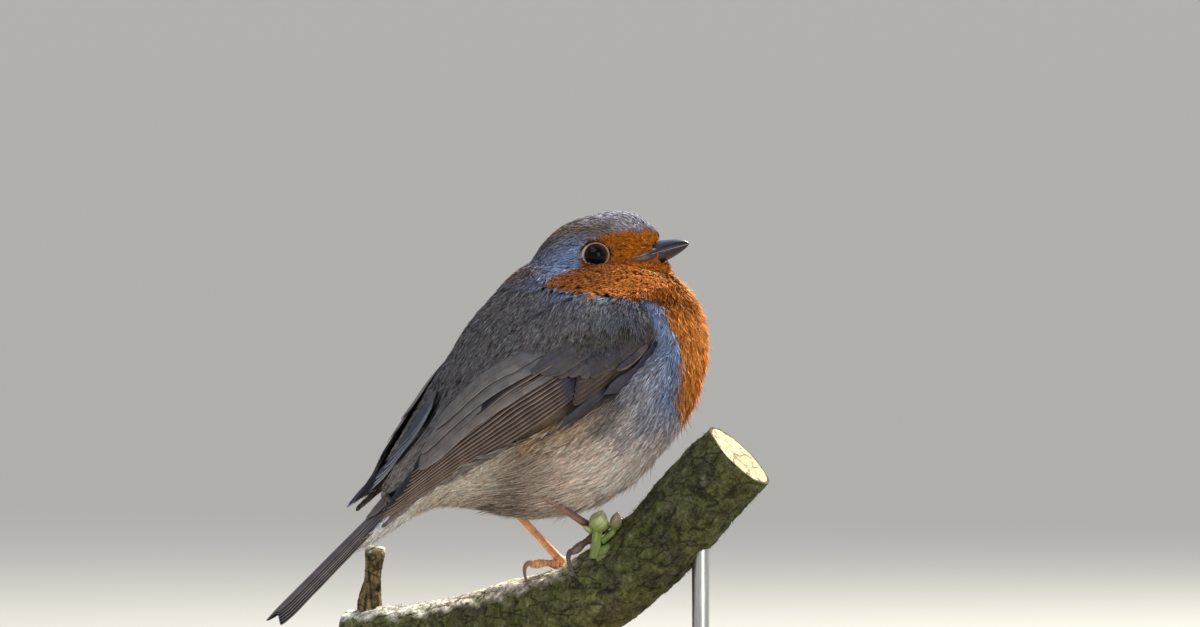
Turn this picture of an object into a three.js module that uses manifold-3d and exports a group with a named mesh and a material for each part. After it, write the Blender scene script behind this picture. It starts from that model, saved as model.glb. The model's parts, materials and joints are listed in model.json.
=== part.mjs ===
// European robin, life size, gripping a short cut length of branch that a display stand holds up.
// Millimetres. +X is the way the body faces, +Y is its left side, +Z is up.
// The origin is the centre of the stand's underside. The bird and its branch share one group, whose
// datum lies DATUM_HEIGHT above the underside, so heights below are above that datum.
import * as THREE from "three";
import { mergeVertices } from "three/addons/utils/BufferGeometryUtils.js";
import Module from "manifold-3d";

const wasm = await Module();
wasm.setup();

// ---------------------------------------------------------------- driving dimensions

const GAP = 0.3; // clearance between neighbouring pieces
const DATUM_HEIGHT = 37; // of the bird's datum above the stand's underside
const BIRD_OFFSET = { x: 11, y: 0 }; // sets the bird's weight over the middle of the stand

const HEAD_TURN = -20; // degrees about +Z: the head looks to the bird's right of its body
const HEAD_PITCH = 15.5; // degrees that the bill points above level
const BILL_LENGTH = 7.4; // from the feathers of the forehead to the tip
const GAPE_DEPTH = 6.5; // the bill's sides run this far back along the face
const EYE_RADIUS = 3.3;
const EYE_SUNK = 2.0; // the eyeball's centre lies this far inside the face
const EYE_BACK = 14.4; // behind the bill's base
const EYE_RISE = 3.1; // above the bill's axis

const WING_THICKNESS = { root: 4.0, tip: 1.1 };
const TAIL_FEATHERS = 12;
const TAIL_FEATHER_THICKNESS = 0.6;

const TARSUS_RADIUS = 0.85;
const TOE_RADIUS = 0.8;
const CLAW_RADIUS = 0.5;

const BASE = { radius: 56, height: 9, round: 2.5 };
const ROD_RADIUS = 2.0;
const SOCKET_DEPTH = 4.5; // how far a rod enters the base and the branch

// ---------------------------------------------------------------- materials

const material = (color, roughness, metalness = 0) =>
  new THREE.MeshStandardMaterial({ color, roughness, metalness });
const FINISH = {
  plumage: material(0x6f6a5f, 0.9),
  breast: material(0xc8641c, 0.9),
  flight: material(0x5d5349, 0.7),
  horn: material(0x2b2a30, 0.35),
  eye: material(0x0a0a0d, 0.05),
  leg: material(0xa5694c, 0.55),
  bark: material(0x5f6142, 0.95),
  bud: material(0x6f9a3f, 0.6),
  wood: material(0x4a2f1e, 0.45),
  steel: material(0xb9bcc0, 0.3, 1),
};

// ---------------------------------------------------------------- geometry helpers

const vec = (x, y, z) => new THREE.Vector3(x, y, z);
const radians = THREE.MathUtils.degToRad;
const lerp = THREE.MathUtils.lerp;

// A closed surface through rings of equal size, which all run the same way round. Each end closes on its middle.
function ringLoft(rings) {
  const size = rings[0].length;
  const positions = [];
  const indices = [];
  rings.flat().forEach((p) => positions.push(p.x, p.y, p.z));
  for (let i = 0; i + 1 < rings.length; i++) {
    for (let j = 0; j < size; j++) {
      const a = i * size + j;
      const b = i * size + ((j + 1) % size);
      indices.push(a, b, a + size, b, b + size, a + size);
    }
  }
  for (const [i, flip] of [
    [0, true],
    [rings.length - 1, false],
  ]) {
    const middle = rings[i].reduce((sum, p) => sum.add(p), vec(0, 0, 0)).divideScalar(size);
    const centre = positions.length / 3;
    positions.push(middle.x, middle.y, middle.z);
    for (let j = 0; j < size; j++) {
      const a = i * size + j;
      const b = i * size + ((j + 1) % size);
      indices.push(...(flip ? [b, a, centre] : [a, b, centre]));
    }
  }
  const geometry = new THREE.BufferGeometry();
  geometry.setAttribute("position", new THREE.Float32BufferAttribute(positions, 3));
  geometry.setIndex(indices);
  return geometry;
}

// A manifold solid from a closed geometry, turned right side out if its faces point inwards.
function solid(geometry) {
  const bare = new THREE.BufferGeometry();
  bare.setAttribute("position", geometry.getAttribute("position"));
  bare.setIndex(geometry.index);
  const merged = mergeVertices(bare, 1e-4);
  const vertProperties = new Float32Array(merged.attributes.position.array);
  const triVerts = new Uint32Array(merged.index.array);
  const made = new wasm.Manifold(new wasm.Mesh({ numProp: 3, vertProperties, triVerts }));
  if (made.volume() > 0) return made;
  for (let i = 0; i < triVerts.length; i += 3) {
    [triVerts[i + 1], triVerts[i + 2]] = [triVerts[i + 2], triVerts[i + 1]];
  }
  return new wasm.Manifold(new wasm.Mesh({ numProp: 3, vertProperties, triVerts }));
}

function mesh(name, made, finish) {
  const { numProp, vertProperties, triVerts } = made.getMesh();
  const positions = new Float32Array((vertProperties.length / numProp) * 3);
  for (let i = 0; i * numProp < vertProperties.length; i++) {
    positions.set(vertProperties.subarray(i * numProp, i * numProp + 3), i * 3);
  }
  const geometry = new THREE.BufferGeometry();
  geometry.setAttribute("position", new THREE.BufferAttribute(positions, 3));
  geometry.setIndex(new THREE.BufferAttribute(triVerts, 1));
  const shown = new THREE.Mesh(geometry, finish);
  shown.name = name;
  return shown;
}

// A smooth function of t in 0..1 through evenly spaced values.
function smooth(values) {
  const curve = new THREE.CatmullRomCurve3(values.map((v, i) => vec(i, v, 0)));
  return (t) => curve.getPoint(THREE.MathUtils.clamp(t, 0, 1)).y;
}

// A smooth 3-D curve of t in 0..1 through [x, y, z] points, evenly spaced in t.
function rail(points) {
  const curve = new THREE.CatmullRomCurve3(points.map((p) => vec(...p)));
  return (t) => {
    if (t >= 0 && t <= 1) return curve.getPoint(t);
    const end = t < 0 ? 0 : 1;
    return curve.getPoint(end).addScaledVector(curve.getTangent(end), (t - end) * curve.getLength());
  };
}

// A round tube along points, with a radius for each t in 0..1.
function tube(points, radiusAt, { steps = 12, sides = 8 } = {}) {
  const curve = new THREE.CatmullRomCurve3(points);
  const frames = curve.computeFrenetFrames(steps, false);
  const rings = [];
  for (let i = 0; i <= steps; i++) {
    const t = i / steps;
    const centre = curve.getPointAt(t);
    const ring = [];
    for (let j = 0; j < sides; j++) {
      const angle = (2 * Math.PI * j) / sides;
      ring.push(
        centre
          .clone()
          .addScaledVector(frames.normals[i], Math.cos(angle) * radiusAt(t))
          .addScaledVector(frames.binormals[i], Math.sin(angle) * radiusAt(t)),
      );
    }
    rings.push(ring);
  }
  return solid(ringLoft(rings));
}

const ball = (centre, radius, detail = 12) => {
  const sphere = new THREE.SphereGeometry(radius, detail, detail / 2);
  return solid(sphere.translate(centre.x, centre.y, centre.z));
};

// The half-space below a plane, as a large block: what lies on the side that the normal points from.
function halfSpace(point, normal) {
  const size = 200;
  const block = new THREE.BoxGeometry(size, size, size).translate(0, 0, -size / 2);
  const turn = new THREE.Quaternion().setFromUnitVectors(vec(0, 0, 1), normal.clone().normalize());
  return solid(block.applyQuaternion(turn).translate(point.x, point.y, point.z));
}

// ---------------------------------------------------------------- trunk and head, whole

// Sections of the trunk from under the tail to the throat. Each runs from a point on the back to
// one on the underside, both [x, z], and is this wide from its middle, which may stand to one side.
const TRUNK_SECTIONS = [
  { back: [-55.5, 20.4], belly: [-54.2, 17.9], halfWidth: 2.2 }, // end of the tail's lower coverts
  { back: [-48.5, 30.0], belly: [-46.2, 22.6], halfWidth: 5.0 },
  { back: [-41.5, 40.3], belly: [-37.0, 28.0], halfWidth: 8.4 }, // tail coverts
  { back: [-35.5, 49.0], belly: [-27.5, 28.4], halfWidth: 12.8 }, // rump
  { back: [-32.0, 57.2], belly: [-17.0, 25.8], halfWidth: 17.8 }, // vent
  { back: [-28.4, 64.8], belly: [-4.7, 25.4], halfWidth: 21.8 }, // belly
  { back: [-23.7, 71.7], belly: [8.3, 29.5], halfWidth: 23.8 },
  { back: [-18.5, 77.0], belly: [18.9, 38.9], halfWidth: 24.0 }, // shoulders
  { back: [-14.2, 81.6], belly: [27.4, 51.0], halfWidth: 22.4 }, // breast
  { back: [-8.5, 84.5], belly: [31.0, 63.7], halfWidth: 18.4 },
  { back: [-2.0, 85.0], belly: [28.4, 73.8], halfWidth: 13.4, side: -1.5 }, // throat
  { back: [4.0, 84.4], belly: [23.0, 79.2], halfWidth: 8.6, side: -3.5 },
];
const TRUNK_RINGS = 19;
const TRUNK_SIDES = 22;
const BELLY_BREADTH = 0.1; // how much fuller a section is towards the underside

function trunkWhole() {
  const curve = (pick) => rail(TRUNK_SECTIONS.map((s) => pick(s)));
  const back = curve(({ back: [x, z], side = 0 }) => [x, side, z]);
  const belly = curve(({ belly: [x, z], side = 0 }) => [x, side, z]);
  const halfWidth = smooth(TRUNK_SECTIONS.map((s) => s.halfWidth));
  const rings = [];
  for (let i = 0; i <= TRUNK_RINGS; i++) {
    const t = i / TRUNK_RINGS;
    const centre = back(t).add(belly(t)).multiplyScalar(0.5);
    const toBack = back(t).sub(centre);
    const ring = [];
    for (let j = 0; j < TRUNK_SIDES; j++) {
      const angle = (2 * Math.PI * j) / TRUNK_SIDES;
      const breadth = halfWidth(t) * (1 - BELLY_BREADTH * Math.cos(angle));
      const point = centre.clone().addScaledVector(toBack, Math.cos(angle));
      ring.push(point.add(vec(0, breadth * Math.sin(angle), 0)));
    }
    rings.push(ring);
  }
  return solid(ringLoft(rings));
}

// Sections of the head from the bill's base back to the nape, in the head's own frame: x runs forwards
// along the bill's axis from its base, and each section rises and falls from that axis by top and bottom.
const HEAD_SECTIONS = [
  { behind: -2.0, top: 2.2, bottom: 2.0, halfWidth: 1.6 },
  { behind: -1.2, top: 4.7, bottom: 5.0, halfWidth: 2.1 },
  { behind: 0.4, top: 7.5, bottom: 6.8, halfWidth: 3.1 },
  { behind: 2.6, top: 10.0, bottom: 8.2, halfWidth: 4.8 },
  { behind: 5.8, top: 11.5, bottom: 9.6, halfWidth: 6.8 },
  { behind: 9.8, top: 12.2, bottom: 10.8, halfWidth: 8.8 },
  { behind: 14.2, top: 12.3, bottom: 11.3, halfWidth: 10.4 },
  { behind: 18.8, top: 11.9, bottom: 11.6, halfWidth: 11.7 },
  { behind: 23.3, top: 10.1, bottom: 11.6, halfWidth: 12.2 },
  { behind: 27.6, top: 6.7, bottom: 10.6, halfWidth: 11.4 },
  { behind: 31.0, top: 2.5, bottom: 7.4, halfWidth: 8.2 },
];
const HEAD_RINGS = 13;
const HEAD_SIDES = 18;
const CHEEK_BREADTH = 0.2; // how much fuller a section is below the eyes than above
const HEAD_PIVOT = vec(6.2, 0, 83.2); // the head turns about the upright through this point
const BILL_BASE = vec(13.3, 0, 2.96); // from the pivot, before the head's turn

// Carries points of the head's own frame into the bird's.
const headFrame = new THREE.Matrix4()
  .makeTranslation(HEAD_PIVOT)
  .multiply(new THREE.Matrix4().makeRotationZ(radians(HEAD_TURN)))
  .multiply(new THREE.Matrix4().makeTranslation(BILL_BASE))
  .multiply(new THREE.Matrix4().makeRotationY(-radians(HEAD_PITCH)));

// How far the face stands from the plane of symmetry at an angle from the crown.
const faceWidth = (halfWidth, angle) => halfWidth * Math.sin(angle) * (1 - CHEEK_BREADTH * Math.cos(angle));

// One ring of the head, whose upper and lower halves have their own heights.
function headRing({ behind, top, bottom, halfWidth }) {
  return Array.from({ length: HEAD_SIDES }, (_, j) => {
    const angle = (2 * Math.PI * j) / HEAD_SIDES;
    const rise = Math.cos(angle) * (Math.cos(angle) > 0 ? top : bottom);
    return vec(-behind, faceWidth(halfWidth, angle), rise).applyMatrix4(headFrame);
  });
}

function headWhole() {
  const pick = (key) => smooth(HEAD_SECTIONS.map((s) => s[key]));
  const [behind, top, bottom, halfWidth] = ["behind", "top", "bottom", "halfWidth"].map(pick);
  const rings = [];
  for (let i = 0; i <= HEAD_RINGS; i++) {
    const t = i / HEAD_RINGS;
    rings.push(headRing({ behind: behind(t), top: top(t), bottom: bottom(t), halfWidth: halfWidth(t) }));
  }
  return solid(ringLoft(rings));
}

// ---------------------------------------------------------------- bill and eyes

// Half-widths and depths of the bill from the corner of the mouth to its tip.
const BILL_SECTIONS = [
  { ahead: -GAPE_DEPTH, upper: 0.8, lower: 0.6, halfWidth: 5.3 },
  { ahead: -GAPE_DEPTH / 2, upper: 1.6, lower: 1.3, halfWidth: 3.9 },
  { ahead: 0, upper: 2.35, lower: 2.0, halfWidth: 2.5 },
  { ahead: BILL_LENGTH * 0.35, upper: 2.0, lower: 1.55, halfWidth: 1.75 },
  { ahead: BILL_LENGTH * 0.68, upper: 1.5, lower: 0.9, halfWidth: 1.1 },
  { ahead: BILL_LENGTH * 0.9, upper: 0.85, lower: 0.4, halfWidth: 0.55 },
  { ahead: BILL_LENGTH, upper: 0.28, lower: 0.15, halfWidth: 0.22 },
];
const BILL_SIDES = 8;

// Half a bill: an arch above or below the line of the mouth, with a flat face along it.
function mandible(which, grow = 0) {
  const sign = which === "upper" ? 1 : -1;
  const floor = sign * (GAP / 2 - grow);
  const rings = BILL_SECTIONS.map((section, i) => {
    const end = i === 0 ? -grow : i === BILL_SECTIONS.length - 1 ? grow : 0;
    const ring = [];
    for (let j = 0; j <= BILL_SIDES; j++) {
      const angle = (Math.PI * j) / BILL_SIDES;
      const y = (section.halfWidth + grow) * Math.cos(angle);
      const z = floor + sign * (section[which] + 2 * grow) * Math.sin(angle);
      ring.push(vec(section.ahead + end, y, z).applyMatrix4(headFrame));
    }
    return ring;
  });
  return solid(ringLoft(rings));
}

function eyeball(side, grow = 0) {
  const { halfWidth, top } = HEAD_SECTIONS.find((s) => s.behind >= EYE_BACK - 0.5);
  const face = faceWidth(halfWidth, Math.acos(EYE_RISE / top));
  const centre = vec(-EYE_BACK, side * (face - EYE_SUNK), EYE_RISE).applyMatrix4(headFrame);
  return ball(centre, EYE_RADIUS + grow, 14);
}

// ---------------------------------------------------------------- wings

// Three rails from the bend of the right wing to its tip: the lower edge, the middle of the outer face
// and the inner edge over the back. The left wing mirrors them.
const WING_LOWER = [
  [12.0, -17.8, 64.8],
  [2.2, -22.6, 55.8],
  [-8.3, -24.0, 49.4],
  [-20.0, -22.4, 42.5],
  [-33.0, -17.2, 35.8],
  [-43.5, -11.8, 28.8],
  [-51.2, -8.6, 23.0],
];
const WING_MIDDLE = [
  [9.5, -20.6, 71.5],
  [-3.0, -24.8, 65.2],
  [-14.0, -25.8, 59.2],
  [-26.0, -22.6, 52.0],
  [-35.6, -16.0, 43.6],
  [-43.4, -10.8, 34.2],
  [-50.8, -8.2, 24.2],
];
const WING_INNER = [
  [4.0, -16.5, 78.0],
  [-9.0, -18.6, 76.2],
  [-18.8, -15.4, 70.4],
  [-26.6, -10.4, 62.0],
  [-33.4, -6.6, 52.2],
  [-40.2, -6.6, 41.0],
  [-49.6, -7.4, 25.6],
];
const WING_LIFT = { left: 3.6, right: 0 }; // the left wing's tip rides this much higher
const WING_STEPS = { along: 7, across: 4 };
const WING_CUT = GAP / 2; // each part stops this far short of the line it is parted on
const WING_SPAN = { along: 75, across: 22 }; // rough sizes of a folded wing
const FLAKE_REACH = 5; // how far a wing's opening reaches past its outer face

// A point of a wing's outer face: along runs 0..1 from bend to tip, and across 0..1 from lower to inner edge.
function wingSurface(side) {
  const mirror = side === "left" ? -1 : 1;
  const rails = [WING_LOWER, WING_MIDDLE, WING_INNER].map((points) => rail(points));
  return (along, across) => {
    const [lower, middle, inner] = rails.map((r) => r(along));
    const point = lower
      .multiplyScalar((1 - across) * (1 - 2 * across))
      .addScaledVector(middle, 4 * across * (1 - across))
      .addScaledVector(inner, across * (2 * across - 1));
    point.y *= mirror;
    point.z += WING_LIFT[side] * Math.max(0, along) ** 2;
    return point;
  };
}

// A slab of a wing between limits along and across it, from its outer face inwards. The grown slab is
// what is cut out of the trunk: it reaches past the outer face, so that no flake of trunk is left there.
function wingSlab(side, [start, end], [low, high], grow = 0) {
  const at = wingSurface(side);
  const step = 0.01;
  const { along: rows, across: columns } = WING_STEPS;
  const faces = { outer: [], inner: [] };
  for (let i = 0; i <= rows; i++) {
    for (let j = 0; j <= columns; j++) {
      const along = lerp(start, end, i / rows);
      const across = lerp(low, high, j / columns);
      const point = at(along, across);
      const forwards = at(along + step, across).sub(at(along - step, across));
      const upwards = at(along, across + step).sub(at(along, across - step));
      const outwards = forwards.cross(upwards).normalize();
      if (side === "right") outwards.negate();
      const thickness = lerp(WING_THICKNESS.root, WING_THICKNESS.tip, THREE.MathUtils.clamp(along, 0, 1));
      faces.outer.push(point.clone().addScaledVector(outwards, grow ? FLAKE_REACH : 0));
      faces.inner.push(point.clone().addScaledVector(outwards, -thickness - grow));
    }
  }
  const size = (rows + 1) * (columns + 1);
  const indices = [];
  const quad = (a, b, c, d) => indices.push(a, b, c, a, c, d);
  for (let i = 0; i < rows; i++) {
    for (let j = 0; j < columns; j++) {
      const a = i * (columns + 1) + j;
      const c = a + columns + 2;
      quad(a, a + 1, c, c - 1);
      quad(size + a, size + c - 1, size + c, size + a + 1);
    }
  }
  for (let i = 0; i < rows; i++) {
    const a = i * (columns + 1);
    const b = a + columns + 1;
    quad(a, b, size + b, size + a);
    quad(a + columns, size + a + columns, size + b + columns, b + columns);
  }
  for (let j = 0; j < columns; j++) {
    const last = rows * (columns + 1) + j;
    quad(j, size + j, size + j + 1, j + 1);
    quad(last, last + 1, size + last + 1, size + last);
  }
  const geometry = new THREE.BufferGeometry();
  const points = [...faces.outer, ...faces.inner];
  geometry.setAttribute("position", new THREE.Float32BufferAttribute(points.flatMap((p) => p.toArray()), 3));
  geometry.setIndex(indices);
  return solid(geometry);
}

// Where a folded wing is parted: coverts in front, then the inner flight feathers over the primaries.
const WING_PARTS = {
  coverts: { along: [0, 0.42], across: [0, 1] },
  secondaries: { along: [0.42, 0.86], across: [0.42, 1] },
  primaries: { along: [0.42, 1], across: [0, 0.42] },
};

function wingPart(side, part) {
  const { along, across } = WING_PARTS[part];
  const trim = (limits, span) => {
    const margin = WING_CUT / span;
    return [limits[0] + (limits[0] > 0 ? margin : 0), limits[1] - (limits[1] < 1 ? margin : 0)];
  };
  return wingSlab(side, trim(along, WING_SPAN.along), trim(across, WING_SPAN.across));
}

const wingCutter = (side) => wingSlab(side, [-0.012, 1.01], [-0.02, 1.02], GAP);

// ---------------------------------------------------------------- tail

const TAIL_ROOT = vec(-39.2, 0, 38.1);
const TAIL_TIP = vec(-76.3, 0, 2.2);
const TAIL_LENGTH = TAIL_TIP.distanceTo(TAIL_ROOT);
const TAIL_WIDTH = { root: 5.6, end: 13.4 };
const TAIL_FORK = 0.05; // how much shorter the middle pair is
const TAIL_CAMBER = 1.0; // how much lower the outer feathers lie than the middle pair
const TAIL_STACK = 0.12; // each feather lies this much under its inner neighbour
const TAIL_ROLL = 5; // degrees that the right edge is rolled down
const TAIL_SOCKET_DEPTH = 26; // how far along the tail the trunk's coverts wrap it
const TAIL_OVERLAP = 1.44; // of the outermost vanes with their neighbours, in half widths
const FEATHER_HALF_WIDTH = [1.9, 2.5, 2.9, 3.1, 2.9, 2.0, 0.35];

// Directions of the tail: back along it, out of its upper face and across it to the bird's left.
const tailBack = TAIL_TIP.clone().sub(TAIL_ROOT).normalize();
const tailUp = vec(tailBack.z, 0, -tailBack.x).applyAxisAngle(tailBack, -radians(TAIL_ROLL));
const tailLeft = vec(0, 1, 0).applyAxisAngle(tailBack, -radians(TAIL_ROLL));
const tailPoint = (along, left, up) =>
  TAIL_ROOT.clone()
    .addScaledVector(tailBack, along)
    .addScaledVector(tailLeft, left)
    .addScaledVector(tailUp, up);

// The closed tail: long vanes lying over each other, the middle pair on top, as one fan.
function tailFan() {
  const halfWidth = smooth(FEATHER_HALF_WIDTH);
  const blades = Array.from({ length: TAIL_FEATHERS }, (_, i) => {
    const place = (i / (TAIL_FEATHERS - 1)) * 2 - 1; // -1 on the right edge, +1 on the left
    const rank = Math.abs(place);
    const reach = TAIL_LENGTH * (1 - TAIL_FORK * (1 - rank));
    const sink = rank ** 2 * TAIL_CAMBER + (rank * TAIL_STACK * TAIL_FEATHERS) / 2;
    const rings = [0, 0.5, 0.93, 1].map((t) => {
      const span = lerp(TAIL_WIDTH.root, TAIL_WIDTH.end, t) - TAIL_OVERLAP * Math.max(...FEATHER_HALF_WIDTH);
      const w = halfWidth(t);
      const h = TAIL_FEATHER_THICKNESS / 2;
      return [
        [w, -h],
        [w, h],
        [0, h * 1.3],
        [-w, h],
        [-w, -h],
      ].map(([across, up]) => tailPoint(reach * t, (place * span) / 2 + across, up - sink));
    });
    return solid(ringLoft(rings));
  });
  return blades.reduce((fan, blade) => fan.add(blade));
}

// The opening for the tail in the trunk: a flat sheath round the roots of its feathers.
function tailSheath() {
  const top = TAIL_FEATHER_THICKNESS + GAP;
  const bottom = -(TAIL_CAMBER + (TAIL_STACK * TAIL_FEATHERS) / 2 + TAIL_FEATHER_THICKNESS + GAP);
  const margin = 1.2 + GAP;
  const rings = [-GAP, TAIL_SOCKET_DEPTH / 2, TAIL_SOCKET_DEPTH].map((along) => {
    const w = lerp(TAIL_WIDTH.root, TAIL_WIDTH.end, along / TAIL_LENGTH) / 2 + margin;
    return [
      [w, bottom],
      [w, top / 3],
      [0, top],
      [-w, top / 3],
      [-w, bottom],
    ].map(([across, up]) => tailPoint(along, across, up));
  });
  return solid(ringLoft(rings));
}

// ---------------------------------------------------------------- the branch

// The branch's centre line and thickness, from its thin lower end behind the tail to the end by the breast.
const BRANCH_PATH = [
  [-41.5, 37.1, -3.4],
  [-31.5, 28.3, -2.5],
  [-19.0, 17.3, -0.9],
  [-5.7, 5.6, 3.0],
  [1.6, -0.8, 5.9],
  [8.6, -6.9, 12.0],
  [17.5, -14.8, 22.3],
  [23.8, -20.3, 31.4],
  [30.1, -25.8, 39.6],
];
const BRANCH_RADIUS = [6.9, 7.4, 8.2, 8.9, 9.3, 9.6, 9.5, 9.5, 9.3];
const BRANCH_RINGS = 18;
const BRANCH_SIDES = 14;
const TWIG_STUB = { at: 0.048, height: 14.5, radius: 1.9 };

const branchLine = new THREE.CatmullRomCurve3(BRANCH_PATH.map((p) => vec(...p)));
const branchRadius = smooth(BRANCH_RADIUS);

// Centre, and directions along the branch, up out of its crest and to the bird's left, at t in 0..1.
function branchFrame(t) {
  const along = branchLine.getTangentAt(t);
  const left = vec(0, 0, 1).cross(along).normalize();
  return { centre: branchLine.getPointAt(t), along, left, up: along.clone().cross(left) };
}

// The point at an angle round the branch from its crest, towards the left, and a height off the bark.
function onBranch(t, angle, height = 0) {
  const { centre, left, up } = branchFrame(t);
  const reach = branchRadius(t) + height;
  return centre.addScaledVector(up, reach * Math.cos(angle)).addScaledVector(left, reach * Math.sin(angle));
}

function branchSolid() {
  const rings = [];
  for (let i = 0; i <= BRANCH_RINGS; i++) {
    const t = i / BRANCH_RINGS;
    const ring = [];
    for (let j = 0; j < BRANCH_SIDES; j++) {
      ring.push(onBranch(t, (2 * Math.PI * j) / BRANCH_SIDES));
    }
    rings.push(ring);
  }
  return solid(ringLoft(rings));
}

function twigStub() {
  const root = onBranch(TWIG_STUB.at, 0, -2);
  const lean = vec(0.08, -0.05, 1).normalize();
  const points = [0, 0.35, 0.7, 1].map((t) =>
    root.clone().addScaledVector(lean, t * (TWIG_STUB.height + 2)),
  );
  const lumpy = (t) => TWIG_STUB.radius * (1.5 - 0.5 * t + 0.12 * Math.sin(9 * t));
  return tube(points, lumpy, { steps: 6, sides: 8 });
}

// A breaking bud on the right side of the crest, in front of the right foot.
const BUD = { at: 0.628, angle: -0.92, height: 10.4, radius: 2.0 };

function bud() {
  const root = onBranch(BUD.at, BUD.angle, 0.9);
  const lean = vec(0.04, -0.14, 1).normalize();
  const points = [0, 0.35, 0.7, 1].map((t) => root.clone().addScaledVector(lean, t * BUD.height));
  const outline = smooth([0.5, 0.6, 0.65, 1.1, 1.2, 0.95, 0.3]);
  return tube(points, (t) => BUD.radius * outline(t), { steps: 7, sides: 9 });
}

// ---------------------------------------------------------------- legs and feet

// Where each foot stands on the branch, and where its shank enters the belly.
const FEET = {
  left: { at: 0.504, angle: 0.3, heel: [-18.6, 8.0, 33.8] },
  right: { at: 0.66, angle: -0.28, heel: [-19.0, -12.0, 34.6] },
};
// How each toe lies on the bark: its bearing in degrees on either foot, from the branch's upward run and
// turning to its left; its length to the claw, and the claw's; how far its end joint is lifted;
// and how many degrees the claw hooks on round the branch.
const TOES = {
  inner: { left: 52, right: 126, length: 9.5, claw: 3.8, lift: 0, hook: 0 },
  middle: { left: 88, right: 90, length: 14.5, claw: 5.0, lift: 0, hook: 0 },
  outer: { left: 124, right: 54, length: 10.5, claw: 3.8, lift: 0, hook: 0 },
  hind: { left: 222, right: 206, length: 8.2, claw: 6.2, lift: 1.4, hook: 45 },
};
const TOE_NAMES = Object.keys(TOES);
const TOE_START = 2.8; // from the middle of the foot
const FOOT_HEIGHT = TOE_RADIUS + GAP + 0.15; // of the toes' centre line above the bark
const CLAW_ARCH = 0.9;
const CLAW_TIP_RADIUS = 0.25;

// The place on the bark reached from another by going a distance on a bearing.
function placeFrom({ at, angle }, bearing, reach) {
  const turn = radians(bearing);
  return {
    at: at + (reach * Math.cos(turn)) / branchLine.getLength(),
    angle: angle + (reach * Math.sin(turn)) / (branchRadius(at) + FOOT_HEIGHT),
  };
}

const lerps = (from, to, count) => Array.from({ length: count }, (_, i) => lerp(from, to, i / (count - 1)));

// Points of a toe's centre line between two distances from the middle of the foot.
function toePoints(side, name, from, to) {
  const { [side]: bearing, length, lift } = TOES[name];
  return lerps(from, to, 5).map((reach) => {
    const { at, angle } = placeFrom(FEET[side], bearing, reach);
    return onBranch(at, angle, FOOT_HEIGHT + lift * Math.min(1, reach / length) ** 1.5);
  });
}

function toeSolid(side, name) {
  const pads = (t) => TOE_RADIUS * (1 - 0.15 * t + 0.08 * Math.cos(t * 4 * Math.PI));
  const points = toePoints(side, name, TOE_START + GAP, TOES[name].length);
  return tube(points, pads, { steps: 7, sides: 6 });
}

function clawSolid(side, name) {
  const { [side]: bearing, length, claw, lift, hook } = TOES[name];
  const root = placeFrom(FEET[side], bearing, length + GAP);
  const points = lerps(0, 1, 6).map((t) => {
    const { at, angle } = placeFrom(root, bearing + hook * t ** 0.5, claw * t);
    const fall = lerp(FOOT_HEIGHT + lift, CLAW_TIP_RADIUS + GAP + 0.1, t ** 1.5);
    return onBranch(at, angle, fall + CLAW_ARCH * Math.sin(Math.PI * t ** 0.8));
  });
  return tube(points, (t) => lerp(CLAW_RADIUS * 1.3, CLAW_TIP_RADIUS, t ** 0.8), { steps: 5, sides: 6 });
}

// The bare shank with the knuckle that the toes spring from.
function shankSolid(side, grow = 0) {
  const { at, angle, heel: start } = FEET[side];
  const knuckle = onBranch(at, angle, FOOT_HEIGHT + 0.5);
  const heel = vec(...start);
  const leg = [0, 0.3, 0.7, 1].map((t) => heel.clone().lerp(knuckle, t));
  const shape = smooth([1.25, 1.0, 0.92, 0.95, 1.2]);
  const shank = tube(leg, (t) => TARSUS_RADIUS * shape(t) + grow, { steps: 5, sides: 8 });
  return TOE_NAMES.reduce((made, name) => {
    const root = tube(toePoints(side, name, 0.2, TOE_START), () => TOE_RADIUS + grow, { steps: 2, sides: 6 });
    return made.add(root);
  }, shank.add(ball(knuckle, TARSUS_RADIUS * 1.35 + grow, 8)));
}

// Low feathered swellings where the shanks leave the belly.
function thighSwelling(side) {
  const { at, angle, heel: start } = FEET[side];
  const heel = vec(...start);
  const knuckle = onBranch(at, angle);
  const points = [-0.05, 0.1, 0.24, 0.38].map((t) => heel.clone().lerp(knuckle, t));
  const shape = smooth([2.4, 3.0, 2.6, 1.4]);
  return tube(points, shape, { steps: 5, sides: 12 });
}

// ---------------------------------------------------------------- stand

const ROD_PLACES = [0.24, 0.88]; // along the branch

function rodLine(at) {
  const { centre } = branchFrame(at);
  const reach = branchRadius(at) / Math.max(0.6, branchFrame(at).up.z);
  const top = centre.z - reach + SOCKET_DEPTH;
  return { x: centre.x, y: centre.y, top, bottom: BASE.height - SOCKET_DEPTH - DATUM_HEIGHT };
}

function rodSolid(at, grow = 0) {
  const { x, y, top, bottom } = rodLine(at);
  const rod = new THREE.CylinderGeometry(ROD_RADIUS + grow, ROD_RADIUS + grow, top - bottom + 2 * grow, 16);
  return solid(rod.rotateX(Math.PI / 2).translate(x, y, (top + bottom) / 2));
}

function baseSolid() {
  const { radius, height, round } = BASE;
  const profile = [new THREE.Vector2(0, 0), new THREE.Vector2(radius - 1, 0), new THREE.Vector2(radius, 1)];
  for (let i = 0; i <= 3; i++) {
    const angle = (Math.PI / 2) * (i / 3);
    profile.push(
      new THREE.Vector2(radius - round + round * Math.cos(angle), height - round + round * Math.sin(angle)),
    );
  }
  profile.push(new THREE.Vector2(0, height));
  return solid(new THREE.LatheGeometry(profile, 36).rotateX(Math.PI / 2));
}

// ---------------------------------------------------------------- assembly

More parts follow.
